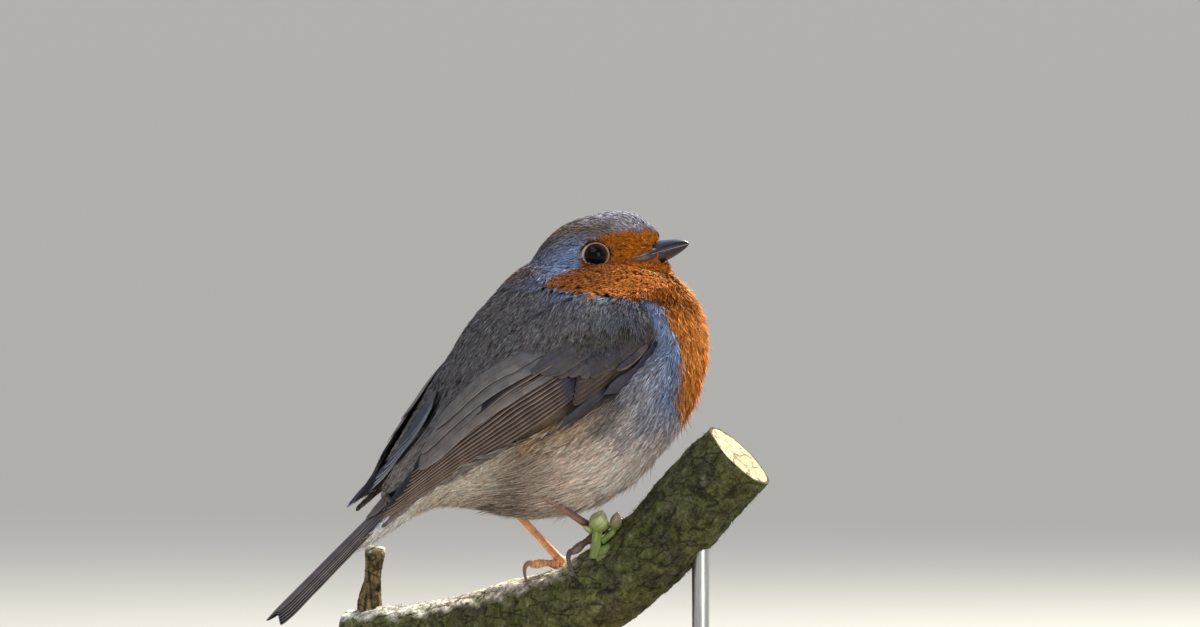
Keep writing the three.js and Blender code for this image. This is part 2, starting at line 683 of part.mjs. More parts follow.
const HEAD_CUT = { point: vec(6.5, 0, 81.2), normal: vec(0.16, 0, 0.987) };
const NECK_CUT = { point: vec(6.5, 0, 74.0), normal: vec(0.15, 0, 0.989) };

// The head, neck and trunk are one form, parted by two thin cuts.
function fleshParts() {
  const whole = trunkWhole()
    .add(headWhole())
    .add(thighSwelling("left"))
    .add(thighSwelling("right"));
  const shifted = ({ point, normal }, by) => point.clone().addScaledVector(normal, by);
  const belowHead = halfSpace(shifted(HEAD_CUT, -GAP / 2), HEAD_CUT.normal);
  const upToHead = halfSpace(shifted(HEAD_CUT, GAP / 2), HEAD_CUT.normal);
  const belowNeck = halfSpace(shifted(NECK_CUT, -GAP / 2), NECK_CUT.normal);
  const upToNeck = halfSpace(shifted(NECK_CUT, GAP / 2), NECK_CUT.normal);
  return {
    head: whole.subtract(upToHead),
    neck: whole.intersect(belowHead).subtract(upToNeck),
    trunk: whole.intersect(belowNeck),
  };
}

function bird() {
  const group = new THREE.Group();
  const parts = fleshParts();
  const sides = [
    ["left", 1],
    ["right", -1],
  ];
  const openings = [tailSheath(), mandible("upper", GAP), mandible("lower", GAP)];
  for (const [side, sign] of sides) {
    openings.push(wingCutter(side), eyeball(sign, GAP), shankSolid(side, GAP));
  }
  const cut = (part) => openings.reduce((left, opening) => left.subtract(opening), part);
  group.add(mesh("head", cut(parts.head), FINISH.plumage));
  group.add(mesh("neck", cut(parts.neck), FINISH.breast));
  group.add(mesh("trunk", cut(parts.trunk), FINISH.plumage));
  group.add(mesh("bill_upper", mandible("upper"), FINISH.horn));
  group.add(mesh("bill_lower", mandible("lower"), FINISH.horn));
  group.add(mesh("tail", tailFan(), FINISH.flight));
  for (const [side, sign] of sides) {
    group.add(mesh(`eye_${side}`, eyeball(sign), FINISH.eye));
    for (const part of Object.keys(WING_PARTS)) {
      group.add(mesh(`wing_${side}_${part}`, wingPart(side, part), FINISH.flight));
    }
    group.add(mesh(`shank_${side}`, shankSolid(side), FINISH.leg));
    for (const name of TOE_NAMES) {
      group.add(mesh(`toe_${side}_${name}`, toeSolid(side, name), FINISH.leg));
      group.add(mesh(`claw_${side}_${name}`, clawSolid(side, name), FINISH.horn));
    }
  }
  return group;
}

function perch() {
  const group = new THREE.Group();
  const sockets = ROD_PLACES.map((at) => rodSolid(at, GAP));
  const branch = sockets.reduce((left, socket) => left.subtract(socket), branchSolid().add(twigStub()));
  group.add(mesh("perch_branch", branch, FINISH.bark));
  group.add(mesh("perch_bud", bud(), FINISH.bud));
  ROD_PLACES.forEach((at, i) => group.add(mesh(`stand_rod_${i + 1}`, rodSolid(at), FINISH.steel)));
  return group;
}

function stand() {
  const base = baseSolid();
  const sockets = ROD_PLACES.map((at) =>
    rodSolid(at, GAP).translate([BIRD_OFFSET.x, BIRD_OFFSET.y, DATUM_HEIGHT]),
  );
  return mesh("stand_base", sockets.reduce((left, socket) => left.subtract(socket), base), FINISH.wood);
}

const model = new THREE.Group();
const onPerch = new THREE.Group();
onPerch.position.set(BIRD_OFFSET.x, BIRD_OFFSET.y, DATUM_HEIGHT);
onPerch.add(bird(), perch());
model.add(onPerch, stand());

export default model;
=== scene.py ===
"""A European robin on a cut length of branch: the looks of a life-size display model.

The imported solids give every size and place. One skin stands for the solids of flesh, a coat of
fine feather tufts lies over it, and the wings and tail are laid feather by feather. Lengths in
the classes are millimetres in the bird's own frame, whose datum the stand carries; placed()
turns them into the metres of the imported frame.
"""

import json
import logging
import math
from contextlib import contextmanager
from dataclasses import dataclass, field, replace
from enum import Enum
from typing import Callable, Iterator, Sequence

import bpy
import numpy as np
from mathutils import Matrix, Vector
from mathutils.bvhtree import BVHTree

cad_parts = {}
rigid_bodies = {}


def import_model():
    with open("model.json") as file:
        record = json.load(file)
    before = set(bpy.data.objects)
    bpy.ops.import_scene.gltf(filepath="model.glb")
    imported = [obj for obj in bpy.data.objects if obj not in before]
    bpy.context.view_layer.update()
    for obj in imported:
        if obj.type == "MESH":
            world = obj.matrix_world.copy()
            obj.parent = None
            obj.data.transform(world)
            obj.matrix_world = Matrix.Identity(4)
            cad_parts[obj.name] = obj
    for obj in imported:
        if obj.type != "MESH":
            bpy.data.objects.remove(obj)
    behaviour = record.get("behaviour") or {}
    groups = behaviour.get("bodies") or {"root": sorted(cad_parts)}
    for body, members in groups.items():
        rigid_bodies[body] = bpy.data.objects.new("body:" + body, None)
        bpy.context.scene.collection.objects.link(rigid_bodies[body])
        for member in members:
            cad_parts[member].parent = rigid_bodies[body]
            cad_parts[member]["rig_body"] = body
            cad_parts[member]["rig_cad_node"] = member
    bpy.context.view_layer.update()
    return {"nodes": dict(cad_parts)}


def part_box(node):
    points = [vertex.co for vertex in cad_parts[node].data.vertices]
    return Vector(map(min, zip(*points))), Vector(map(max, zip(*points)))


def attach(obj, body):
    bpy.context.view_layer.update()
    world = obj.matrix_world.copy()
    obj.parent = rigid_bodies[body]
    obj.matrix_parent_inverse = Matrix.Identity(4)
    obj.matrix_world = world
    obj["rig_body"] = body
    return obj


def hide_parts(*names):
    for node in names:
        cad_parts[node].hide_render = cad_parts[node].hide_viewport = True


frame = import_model()

log = logging.getLogger("robin")
Array = np.ndarray
Colour = tuple[float, float, float]
Piece = bpy.types.Object
Mesh = bpy.types.Mesh
Material = bpy.types.Material
Socket = bpy.types.NodeSocket

MM = 0.001
TOLERANCE = 1e-6  # metres within which two places are one
QUARTERS = (0.0, 0.25, 0.5, 0.75, 1.0)
DATUM = np.array((11.0, 0.0, 37.0))  # mm: the bird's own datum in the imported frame
UP = np.array((0.0, 0.0, 1.0))
BLACK = (0.0, 0.0, 0.0)
UV_NAME = "OFBake"
WEAVE = "weave"  # the map along and across each vane, in mm
TINT = "tint"  # the colour attribute that markings are carried in


class Side(Enum):
    """Which half of the bird a piece belongs to."""

    LEFT = "left"
    RIGHT = "right"

    @property
    def sign(self) -> float:
        """+1 on the bird's left, -1 on its right."""
        return 1.0 if self is Side.LEFT else -1.0


# ---------------------------------------------------------------- numbers and arrays


def placed(points: Array) -> Array:
    """Points of the bird's own frame, in mm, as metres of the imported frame."""
    return (np.asarray(points, float) + DATUM) * MM


def unplaced(points: Array) -> Array:
    """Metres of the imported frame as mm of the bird's own frame."""
    return np.asarray(points, float) / MM - DATUM


def unit(vectors: Array) -> Array:
    """The vectors at length one."""
    return vectors / np.maximum(np.linalg.norm(vectors, axis=-1, keepdims=True), 1e-9)


def flattened(vectors: Array, normals: Array) -> Array:
    """Unit vectors turned into the plane across each normal."""
    return unit(vectors - (vectors * normals).sum(-1, keepdims=True) * normals)


def ramp(values: Array, low: float, high: float) -> Array:
    """A smooth step from 0 at low to 1 at high, which may run either way."""
    t = np.clip((np.asarray(values, float) - low) / (high - low), 0.0, 1.0)
    return t * t * (3.0 - 2.0 * t)


def through(places: Array, knots: Sequence[tuple[float, float]]) -> Array:
    """Straight interpolation of places through (place, value) knots."""
    at, values = zip(*knots)
    return np.interp(places, at, values)


def mixed(low: Array, high: Array, share: Array) -> Array:
    """Blend of two colours or colour arrays by a share for each point."""
    share = np.asarray(share, float)[..., None]
    return np.asarray(low, float) * (1.0 - share) + np.asarray(high, float) * share


def rail(points: Sequence[Sequence[float]]) -> Callable[[Array], Array]:
    """A smooth curve of 0..1 through evenly spaced points.

    Args:
        points: The points in order.

    Returns:
        A function from places along the curve to its points.
    """
    knots = np.array(points, float)
    ends = (2 * knots[0] - knots[1], 2 * knots[-1] - knots[-2])
    padded = np.vstack((ends[0], knots, ends[1]))

    def curve(t: Array) -> Array:
        """Points of the curve at each t.

        Args:
            t: Places along the curve, 0 to 1.

        Returns:
            The points there.
        """
        run = np.clip(np.asarray(t, float), 0.0, 1.0) * (len(knots) - 1)
        index = np.minimum(run.astype(int), len(knots) - 2)
        w = (run - index)[..., None]
        a, b, c, d = (padded[index + k] for k in range(4))
        square, cube = 2 * a - 5 * b + 4 * c - d, 3 * b - a - 3 * c + d
        return 0.5 * (2 * b + (c - a) * w + square * w**2 + cube * w**3)

    return curve


@dataclass(frozen=True)
class Noise:
    """Smooth random waves through space, the same on each run.

    Args:
        size: Rough size of a wave in mm.
        seed: Picks the pattern.
        waves: How many waves are summed.
    """

    size: float
    seed: int
    waves: int = 14

    def __call__(self, points: Array) -> Array:
        """The waves' values.

        Args:
            points: Places in mm.

        Returns:
            A value of about -1 to 1 for each.
        """
        rng = np.random.default_rng(self.seed)
        total = np.zeros(len(points))
        for _ in range(self.waves):
            way = unit(rng.normal(size=3)) * (2 * math.pi / self.size) * rng.uniform(0.6, 1.7)
            total += np.sin(points @ way + rng.uniform(0, 2 * math.pi))
        return total / math.sqrt(self.waves)


# ---------------------------------------------------------------- meshes


def linked(name: str, data: bpy.types.ID) -> Piece:
    """Puts data into the scene as a new object.

    Args:
        name: The object's name.
        data: A mesh, lamp or camera.

    Returns:
        The object.
    """
    made = bpy.data.objects.new(name, data)
    bpy.context.scene.collection.objects.link(made)
    return made


def deselect() -> None:
    """Leaves no object selected."""
    bpy.ops.object.select_all(action="DESELECT")


def activate(piece: Piece) -> Piece:
    """Makes one object the selected, active one.

    Args:
        piece: The object.

    Returns:
        The object.
    """
    deselect()
    piece.select_set(True)
    bpy.context.view_layer.objects.active = piece
    return piece


@contextmanager
def editing(piece: Piece) -> Iterator[None]:
    """Edit mode on a piece, with all of it selected, and object mode again after.

    Args:
        piece: The mesh object.

    Yields:
        Nothing.
    """
    activate(piece)
    bpy.ops.object.mode_set(mode="EDIT")
    bpy.ops.mesh.select_all(action="SELECT")
    yield
    bpy.ops.object.mode_set(mode="OBJECT")


def faced_out(piece: Piece) -> Piece:
    """Turns the faces of a closed piece outwards.

    Args:
        piece: The piece.

    Returns:
        The same piece.
    """
    with editing(piece):
        bpy.ops.mesh.normals_make_consistent(inside=False)
    return piece


def pick(mesh: Mesh, kind: str, wanted: Callable[[object], bool]) -> None:
    """Enters edit mode with only some edges or faces of the active mesh selected.

    Args:
        mesh: The mesh.
        kind: EDGE or FACE.
        wanted: Tells whether an edge or face is one of them.
    """
    bpy.ops.object.mode_set(mode="EDIT")
    bpy.ops.mesh.select_mode(type=kind)
    bpy.ops.mesh.select_all(action="DESELECT")
    bpy.ops.object.mode_set(mode="OBJECT")
    for item in mesh.edges if kind == "EDGE" else mesh.polygons:
        item.select = wanted(item)
    bpy.ops.object.mode_set(mode="EDIT")


def primitive(name: str, add: Callable, **settings: object) -> Piece:
    """A new primitive with its place and size in its mesh.

    Args:
        name: The piece's name.
        add: The operator that makes it.
        settings: What the operator is told.

    Returns:
        The piece, selected and active.
    """
    deselect()
    add(**settings)
    piece = bpy.context.view_layer.objects.active
    piece.name = piece.data.name = name
    bpy.ops.object.transform_apply(location=True, rotation=True, scale=True)
    return piece


def apply_modifier(piece: Piece, kind: str, **settings: object) -> None:
    """Adds a modifier to a piece, sets it and applies it.

    Args:
        piece: The object to change.
        kind: The modifier's type.
        settings: Its settings by name.
    """
    activate(piece)
    modifier = piece.modifiers.new(kind.title(), kind)
    for name, value in settings.items():
        setattr(modifier, name, value)
    bpy.ops.object.modifier_apply(modifier=modifier.name)


def copy_of(nodes: Sequence[str], name: str) -> Piece:
    """One joined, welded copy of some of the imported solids.

    Args:
        nodes: Names of the solids.
        name: Name of the copy.

    Returns:
        The new object, with its faces pointing out.
    """
    deselect()
    for node in nodes:
        frame["nodes"][node].select_set(True)
    bpy.context.view_layer.objects.active = frame["nodes"][nodes[0]]
    bpy.ops.object.duplicate()
    copies = list(bpy.context.selected_objects)
    for copy in copies:
        copy.parent = None
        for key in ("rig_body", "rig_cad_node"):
            if key in copy:
                del copy[key]
    if len(copies) > 1:
        bpy.ops.object.join()
    piece = bpy.context.view_layer.objects.active
    piece.name = piece.data.name = name
    piece.data.materials.clear()
    with editing(piece):
        bpy.ops.mesh.remove_doubles(threshold=TOLERANCE)
    return piece


def read(items: object, name: str, width: int = 1, kind: type = np.int32) -> Array:
    """One property of all of a mesh's points, corners or faces.

    Args:
        items: Them.
        name: The property.
        width: How many numbers it has.
        kind: Their type.

    Returns:
        One row for each item.
    """
    found = np.empty(len(items) * width, kind)
    items.foreach_get(name, found)
    return found.reshape(-1, width)


def lay_map(mesh: Mesh, name: str, places: Array) -> None:
    """Gives the mesh a flat map with one place for each of its points."""
    corners = read(mesh.loops, "vertex_index").ravel()
    mesh.uv_layers.new(name=name).uv.foreach_set("vector", places[corners].astype(np.float32).ravel())


def vertex_places(mesh: Mesh) -> Array:
    """The mesh's points in mm of the bird's own frame."""
    return unplaced(read(mesh.vertices, "co", 3, np.float32))


def blank_places(mesh: Mesh) -> tuple[Array, Array, Array]:
    """The x, y and z of the points of a mesh that is still a primitive, in metres."""
    return tuple(((vertex_places(mesh) + DATUM) * MM).T)


def move_vertices(mesh: Mesh, points: Array) -> None:
    """Puts the mesh's points at places in mm of the bird's own frame."""
    mesh.vertices.foreach_set("co", placed(points).astype(np.float32).ravel())
    mesh.update()


def vertex_normals(mesh: Mesh) -> Array:
    """The smooth normal at each point of the mesh."""
    return unit(read(mesh.vertex_normals, "vector", 3, np.float32).astype(float))


def paint(mesh: Mesh, colours: Array) -> None:
    """Stores a linear colour for each point of the mesh.

    Args:
        mesh: The mesh.
        colours: One row a point, or one for all.
    """
    layer = mesh.color_attributes.new(TINT, "FLOAT_COLOR", "POINT")
    rgba = np.ones((len(mesh.vertices), 4), np.float32)
    rgba[:, :3] = np.clip(colours, 0.0, 1.0)
    layer.data.foreach_set("color", rgba.ravel())


def array_mesh(name: str, points: Array, faces: Sequence[Array], smooth: bool = True) -> Piece:
    """A mesh object from arrays.

    Args:
        name: The object's name.
        points: Its points, in mm of the bird's own frame.
        faces: Arrays of point indices, one row a face, each array with its own number of corners.
        smooth: Whether it is shaded smooth.

    Returns:
        The new object.
    """
    mesh = bpy.data.meshes.new(name)
    sizes = np.concatenate([np.full(len(f), f.shape[1], np.int32) for f in faces])
    loops = np.concatenate([f.astype(np.int32).ravel() for f in faces])
    mesh.vertices.add(len(points))
    mesh.vertices.foreach_set("co", placed(points).astype(np.float32).ravel())
    mesh.loops.add(len(loops))
    mesh.loops.foreach_set("vertex_index", loops)
    mesh.polygons.add(len(sizes))
    mesh.polygons.foreach_set("loop_start", np.concatenate(([0], np.cumsum(sizes)[:-1])).astype(np.int32))
    mesh.polygons.foreach_set("loop_total", sizes)
    mesh.polygons.foreach_set("use_smooth", np.full(len(sizes), smooth))
    mesh.update(calc_edges=True)
    return linked(name, mesh)


def finish_piece(piece: Piece, slot: str, material: Material, *nodes: str) -> None:
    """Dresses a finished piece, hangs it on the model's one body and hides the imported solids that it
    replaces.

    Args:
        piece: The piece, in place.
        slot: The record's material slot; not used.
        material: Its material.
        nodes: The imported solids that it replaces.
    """
    piece.data.materials.clear()
    piece.data.materials.append(material)
    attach(piece, "root")
    if nodes:
        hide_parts(*nodes)
    log.info("%s: %d faces", piece.name, len(piece.data.polygons))


# ---------------------------------------------------------------- the bird's form


@dataclass(frozen=True)
class HeadFrame:
    """The turned head's own axes: x runs forwards along the bill from its base, z up out of the crown."""

    turn: float = -20.0  # degrees about the upright
    pitch: float = 15.5  # degrees that the bill points above level
    pivot: tuple[float, float, float] = (6.2, 0.0, 83.2)
    bill_base: tuple[float, float, float] = (13.3, 0.0, 2.96)

    @property
    def axes(self) -> Array:
        """The head's x, y and z directions as the columns of a matrix."""
        turn = Matrix.Rotation(math.radians(self.turn), 3, "Z")
        return np.array(turn @ Matrix.Rotation(-math.radians(self.pitch), 3, "Y"))

    @property
    def base(self) -> Array:
        """The middle of the bill's base in the bird's own frame."""
        turn = Matrix.Rotation(math.radians(self.turn), 3, "Z")
        return np.array(self.pivot) + np.array(turn @ Vector(self.bill_base))

    def into(self, points: Array) -> Array:
        """Points of the bird's frame in the head's."""
        return (points - self.base) @ self.axes

    def out_of(self, points: Array) -> Array:
        """Points of the head's frame in the bird's."""
        return np.asarray(points, float) @ self.axes.T + self.base


HEAD = HeadFrame()


class Form:
    """A smooth closed surface in mm that plumage grows from and lies along."""

    def __init__(self, piece: Piece) -> None:
        """Reads a surface.

        Args:
            piece: The mesh object that has it.
        """
        mesh = piece.data
        mesh.calc_loop_triangles()
        self.points = vertex_places(mesh)
        self.normals = vertex_normals(mesh)
        self.triangles = read(mesh.loop_triangles, "vertices", 3)
        self.tree = BVHTree.FromPolygons(self.points.tolist(), self.triangles.tolist())

    def scatter(self, per_mm2: float, rng: np.random.Generator) -> tuple[Array, Array]:
        """Random places spread evenly over the surface.

        Args:
            per_mm2: How many fall on each square millimetre.
            rng: Where the chance comes from.

        Returns:
            The places and their normals.
        """
        corners = self.points[self.triangles]
        sides = corners[:, 1:] - corners[:, :1]
        area = np.linalg.norm(np.cross(sides[:, 0], sides[:, 1]), axis=1) / 2
        count = int(area.sum() * per_mm2)
        chosen = rng.choice(len(area), count, p=area / area.sum())
        u, v = rng.random((2, count, 1))
        over = (u + v) > 1
        u, v = np.where(over, 1 - u, u), np.where(over, 1 - v, v)
        share = np.concatenate((1 - u - v, u, v), axis=1)[:, :, None]
        places = (corners[chosen] * share).sum(1)
        return places, unit((self.normals[self.triangles[chosen]] * share).sum(1))

    def nearest(self, points: Array) -> tuple[Array, Array]:
        """The closest places on the surface to some points.

        Args:
            points: Places in mm of the bird's own frame.

        Returns:
            Those places and the normals there.
        """
        feet = np.empty_like(points)
        index = np.empty(len(points), int)
        for i, point in enumerate(points.tolist()):
            foot, _, face, _ = self.tree.find_nearest(point)
            feet[i] = foot
            index[i] = face
        return feet, unit(self.normals[self.triangles[index]].sum(1))


def outline_form(nodes: Sequence[str], name: str, voxel: float, smoothing: int) -> Piece:
    """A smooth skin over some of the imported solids, as one closed mesh.

    Args:
        nodes: The solids.
        name: The new object's name.
        voxel: Cell size in mm.
        smoothing: How many smoothing steps it is given.

    Returns:
        The new object, with the throat filled out below the bill.
    """
    piece = copy_of(nodes, name)
    apply_modifier(piece, "REMESH", mode="VOXEL", voxel_size=voxel * MM, use_smooth_shade=True)
    apply_modifier(piece, "SMOOTH", factor=0.5, iterations=smoothing)
    points = vertex_places(piece.data)
    chin, fullness, reach = HEAD.out_of((-0.6, 0.0, -6.6)), 1.7, 3.4
    away = np.linalg.norm((points - chin) * (1, 0.7, 1), axis=1)
    full = fullness * np.exp(-((away / reach) ** 2))
    move_vertices(piece.data, points + vertex_normals(piece.data) * full[:, None])
    return piece


@dataclass(frozen=True)
class WingPlan:
    """The folded wing's outer face, between its lower edge and its inner edge over the back."""

    side: Side
    lower: tuple = (
        (12.0, -17.8, 64.8), (2.2, -22.6, 55.8), (-8.3, -24.0, 49.4), (-20.0, -22.4, 42.5),
        (-33.0, -17.2, 35.8), (-43.5, -11.8, 28.8), (-51.2, -8.6, 23.0))
    middle: tuple = (
        (9.5, -20.6, 71.5), (-3.0, -24.8, 65.2), (-14.0, -25.8, 59.2), (-26.0, -22.6, 52.0),
        (-35.6, -16.0, 43.6), (-43.4, -10.8, 34.2), (-50.8, -8.2, 24.2))
    inner: tuple = (
        (4.0, -16.5, 78.0), (-9.0, -18.6, 76.2), (-18.8, -15.4, 70.4), (-26.6, -10.4, 62.0),
        (-33.4, -6.6, 52.2), (-40.2, -6.6, 41.0), (-49.6, -7.4, 25.6))
    left_lift: float = 3.6  # the left wing's tip rides this much higher

    def at(self, along: Array, across: Array) -> Array:
        """Points of the outer face.

        Args:
            along: 0 at the bend to 1 at the tip.
            across: 0 at the lower edge to 1 at the inner one.

        Returns:
            The points in mm.
        """
        along, across = np.broadcast_arrays(np.asarray(along, float), np.asarray(across, float))
        share = across[..., None]
        low, mid, high = (rail(points)(along) for points in (self.lower, self.middle, self.inner))
        found = low * (1 - share) * (1 - 2 * share) + mid * 4 * share * (1 - share)
        found = found + high * share * (2 * share - 1)
        if self.side is Side.LEFT:
            found[..., 1] *= -1
            found[..., 2] += self.left_lift * along**2
        return found

    def axes(self, along: Array, across: Array) -> tuple[Array, Array, Array]:
        """The wing's own directions at places on it.

        Args:
            along: From the bend to the tip.
            across: From the lower edge to the inner one.

        Returns:
            Unit directions to the tip, to the inner edge and out of the wing.
        """
        step = 0.01
        tipwards = unit(self.at(along + step, across) - self.at(along - step, across))
        inwards = self.at(along, across + step) - self.at(along, across - step)
        outwards = unit(np.cross(tipwards, inwards)) * self.side.sign
        return tipwards, unit(np.cross(outwards, tipwards) * self.side.sign), outwards


@dataclass(frozen=True)
class WingMap:
    """Finds where on a folded wing's outer face a place lies."""

    plan: WingPlan
    rows: int = 90
    columns: int = 40

    def locate(self, points: Array) -> tuple[Array, Array, Array]:
        """Nearest places of the wing to some points.

        Args:
            points: Places in mm.

        Returns:
            How far along and across the wing each one's nearest place lies, and its distance in mm.
        """
        steps = np.linspace(0, 1, self.rows), np.linspace(0, 1, self.columns)
        along, across = np.meshgrid(*steps, indexing="ij")
        grid = self.plan.at(along, across).reshape(-1, 3)
        corner = (np.arange(self.rows - 1)[:, None] * self.columns + np.arange(self.columns - 1)).ravel()
        quads = np.stack((corner, corner + 1, corner + self.columns + 1, corner + self.columns), 1)
        tree = BVHTree.FromPolygons(grid.tolist(), quads.tolist())
        found = [tree.find_nearest(point) for point in points.tolist()]
        cell = np.array([hit[2] for hit in found], int)
        distance = np.array([hit[3] for hit in found])
        row, column = np.divmod(cell, self.columns - 1)
        return (row + 0.5) / (self.rows - 1), (column + 0.5) / (self.columns - 1), distance


@dataclass
class Site:
    """Places on the bird, and where they lie on the head and on the nearer wing."""

    points: Array
    normals: Array
    head: Array = field(init=False)
    along: Array = field(init=False)
    across: Array = field(init=False)
    off_wing: Array = field(init=False)

    HIND = -18.0  # where the hind body begins, in mm

    def __post_init__(self) -> None:
        """Works out the head's and the wing's own measures of each place."""
        self.head = HEAD.into(self.points)
        self.along, self.across, self.off_wing = np.zeros((3, len(self.points)))
        for side in Side:
            mine = self.points[:, 1] * side.sign >= 0
            if mine.any():
                measures = WingMap(WingPlan(side)).locate(self.points[mine])
                self.along[mine], self.across[mine], self.off_wing[mine] = measures

    @property
    def on_wing(self) -> Array:
        """Which places lie on a wing's outer face."""
        return self.off_wing < 1.2 + 0.8 * ramp(self.along, 0.75, 0.88)

    @property
    def above_wing(self) -> Array:
        """Which places lie over the back: past the wing's inner edge, or under the soft scapulars.

        Returns:
            True at each such place.
        """
        scapulars = through(self.along, SCAPULAR_EDGE)
        upper = (self.points[:, 0] > self.HIND) | self.over_rump
        beyond = (self.across > 0.5) & (self.along > 0.02) & upper
        return np.where(self.on_wing, self.across > scapulars, beyond)

    @property
    def over_rump(self) -> Array:
        """Which places of the hind body lie on its upper side, between the wings."""
        x, _, z = self.points.T
        return (x < self.HIND) & (z > np.minimum(44.5 + 0.62 * (x + 20.0), 34.6 + 0.92 * (x + 37.7)))

    @property
    def is_head(self) -> Array:
        """Which places lie on the head or its throat."""
        return self.points[:, 2] > 77.0 - 0.12 * self.points[:, 0]


# The scapulars' lower edge, as how far across the wing it lies at each place along it.
SCAPULAR_EDGE = (
    (0.0, 0.08), (0.05, 0.34), (0.1, 0.51), (0.19, 0.63), (0.29, 0.69), (0.36, 0.72), (0.42, 0.76),
    (0.51, 0.88), (0.57, 0.91), (0.61, 0.95), (0.68, 1.1))
# The lower edge of the soft lesser coverts, in the same measure.
LESSER_EDGE = (
    (0.0, 0.0), (0.05, 0.14), (0.09, 0.25), (0.16, 0.34), (0.24, 0.44), (0.32, 0.53), (0.38, 0.64),
    (0.45, 0.90))
FLANK_EDGE = (
    (0.0, 0.0), (0.2, 0.0), (0.45, 0.02), (0.6, 0.05), (0.75, 0.10), (0.85, 0.14), (0.92, 0.19),
    (1.0, 0.38))


def inside_distance(points: Array, outline: Sequence[tuple[float, float]]) -> Array:
    """How far plane points lie inside a closed outline.

    Args:
        points: Rows of two numbers.
        outline: The outline's corners in order.

    Returns:
        The distance to the outline, which is negative outside it.
    """
    corners = np.array(outline, float)
    nearest = np.full(len(points), np.inf)
    inside = np.zeros(len(points), bool)
    for a, b in zip(corners, np.roll(corners, -1, 0)):
        run = b - a
        t = np.clip(((points - a) @ run) / (run @ run), 0, 1)
        nearest = np.minimum(nearest, np.linalg.norm(points - a - t[:, None] * run, axis=1))
        crosses = (a[1] > points[:, 1]) != (b[1] > points[:, 1])
        rise = run[1] if abs(run[1]) > 1e-9 else 1e-9
        inside ^= crosses & (points[:, 0] < a[0] + (points[:, 1] - a[1]) * run[0] / rise)
    return np.where(inside, nearest, -nearest)


@dataclass(frozen=True)
class Bib:
    """The orange of the face, throat and breast, as outlines seen from the side that both halves share."""

    # In the head's own frame: over the lores and the eye, back to the ear, and forwards below the cheek.
    face: tuple = (
        (9.0, 2.0), (1.3, 3.0), (0.5, 4.4), (-0.6, 5.4), (-3.0, 6.1), (-6.1, 6.8), (-9.6, 7.3),
        (-12.4, 7.1), (-14.9, 6.5), (-16.9, 5.0), (-18.2, 2.8), (-18.4, 1.2), (-21.1, 1.4), (-23.7, 0.9),
        (-26.2, 0.4), (-28.0, -0.2), (-27.2, -1.3), (-24.7, -2.4), (-21.6, -4.0), (-18.4, -5.6),
        (-14.0, -7.3), (-9.7, -9.0), (-5.4, -10.6), (-3.4, -13.0), (-2.4, -24.0), (30.0, -24.0))
    # In the body's frame: the breast's own edge, down to the point where the orange runs out.
    breast: tuple = (
        (60.0, 95.0), (-4.0, 95.0), (-4.0, 76.5), (3.0, 75.4), (11.3, 74.6), (14.0, 73.0), (15.4, 69.4),
        (16.7, 66.0), (17.6, 62.5), (18.2, 59.3), (17.9, 56.3), (16.9, 53.6), (17.8, 50.3), (20.2, 47.4),
        (24.0, 45.5), (60.0, 44.0))

    def depth(self, site: Site) -> Array:
        """How deep in the orange places lie.

        Args:
            site: The places.

        Returns:
            The distance in mm to its edge, negative outside it.
        """
        face = inside_distance(site.head[:, [0, 2]], self.face)
        breast = inside_distance(site.points[:, [0, 2]], self.breast)
        share = ramp(site.points[:, 2], 77.5, 73.0)
        return face * (1 - share) + breast * share


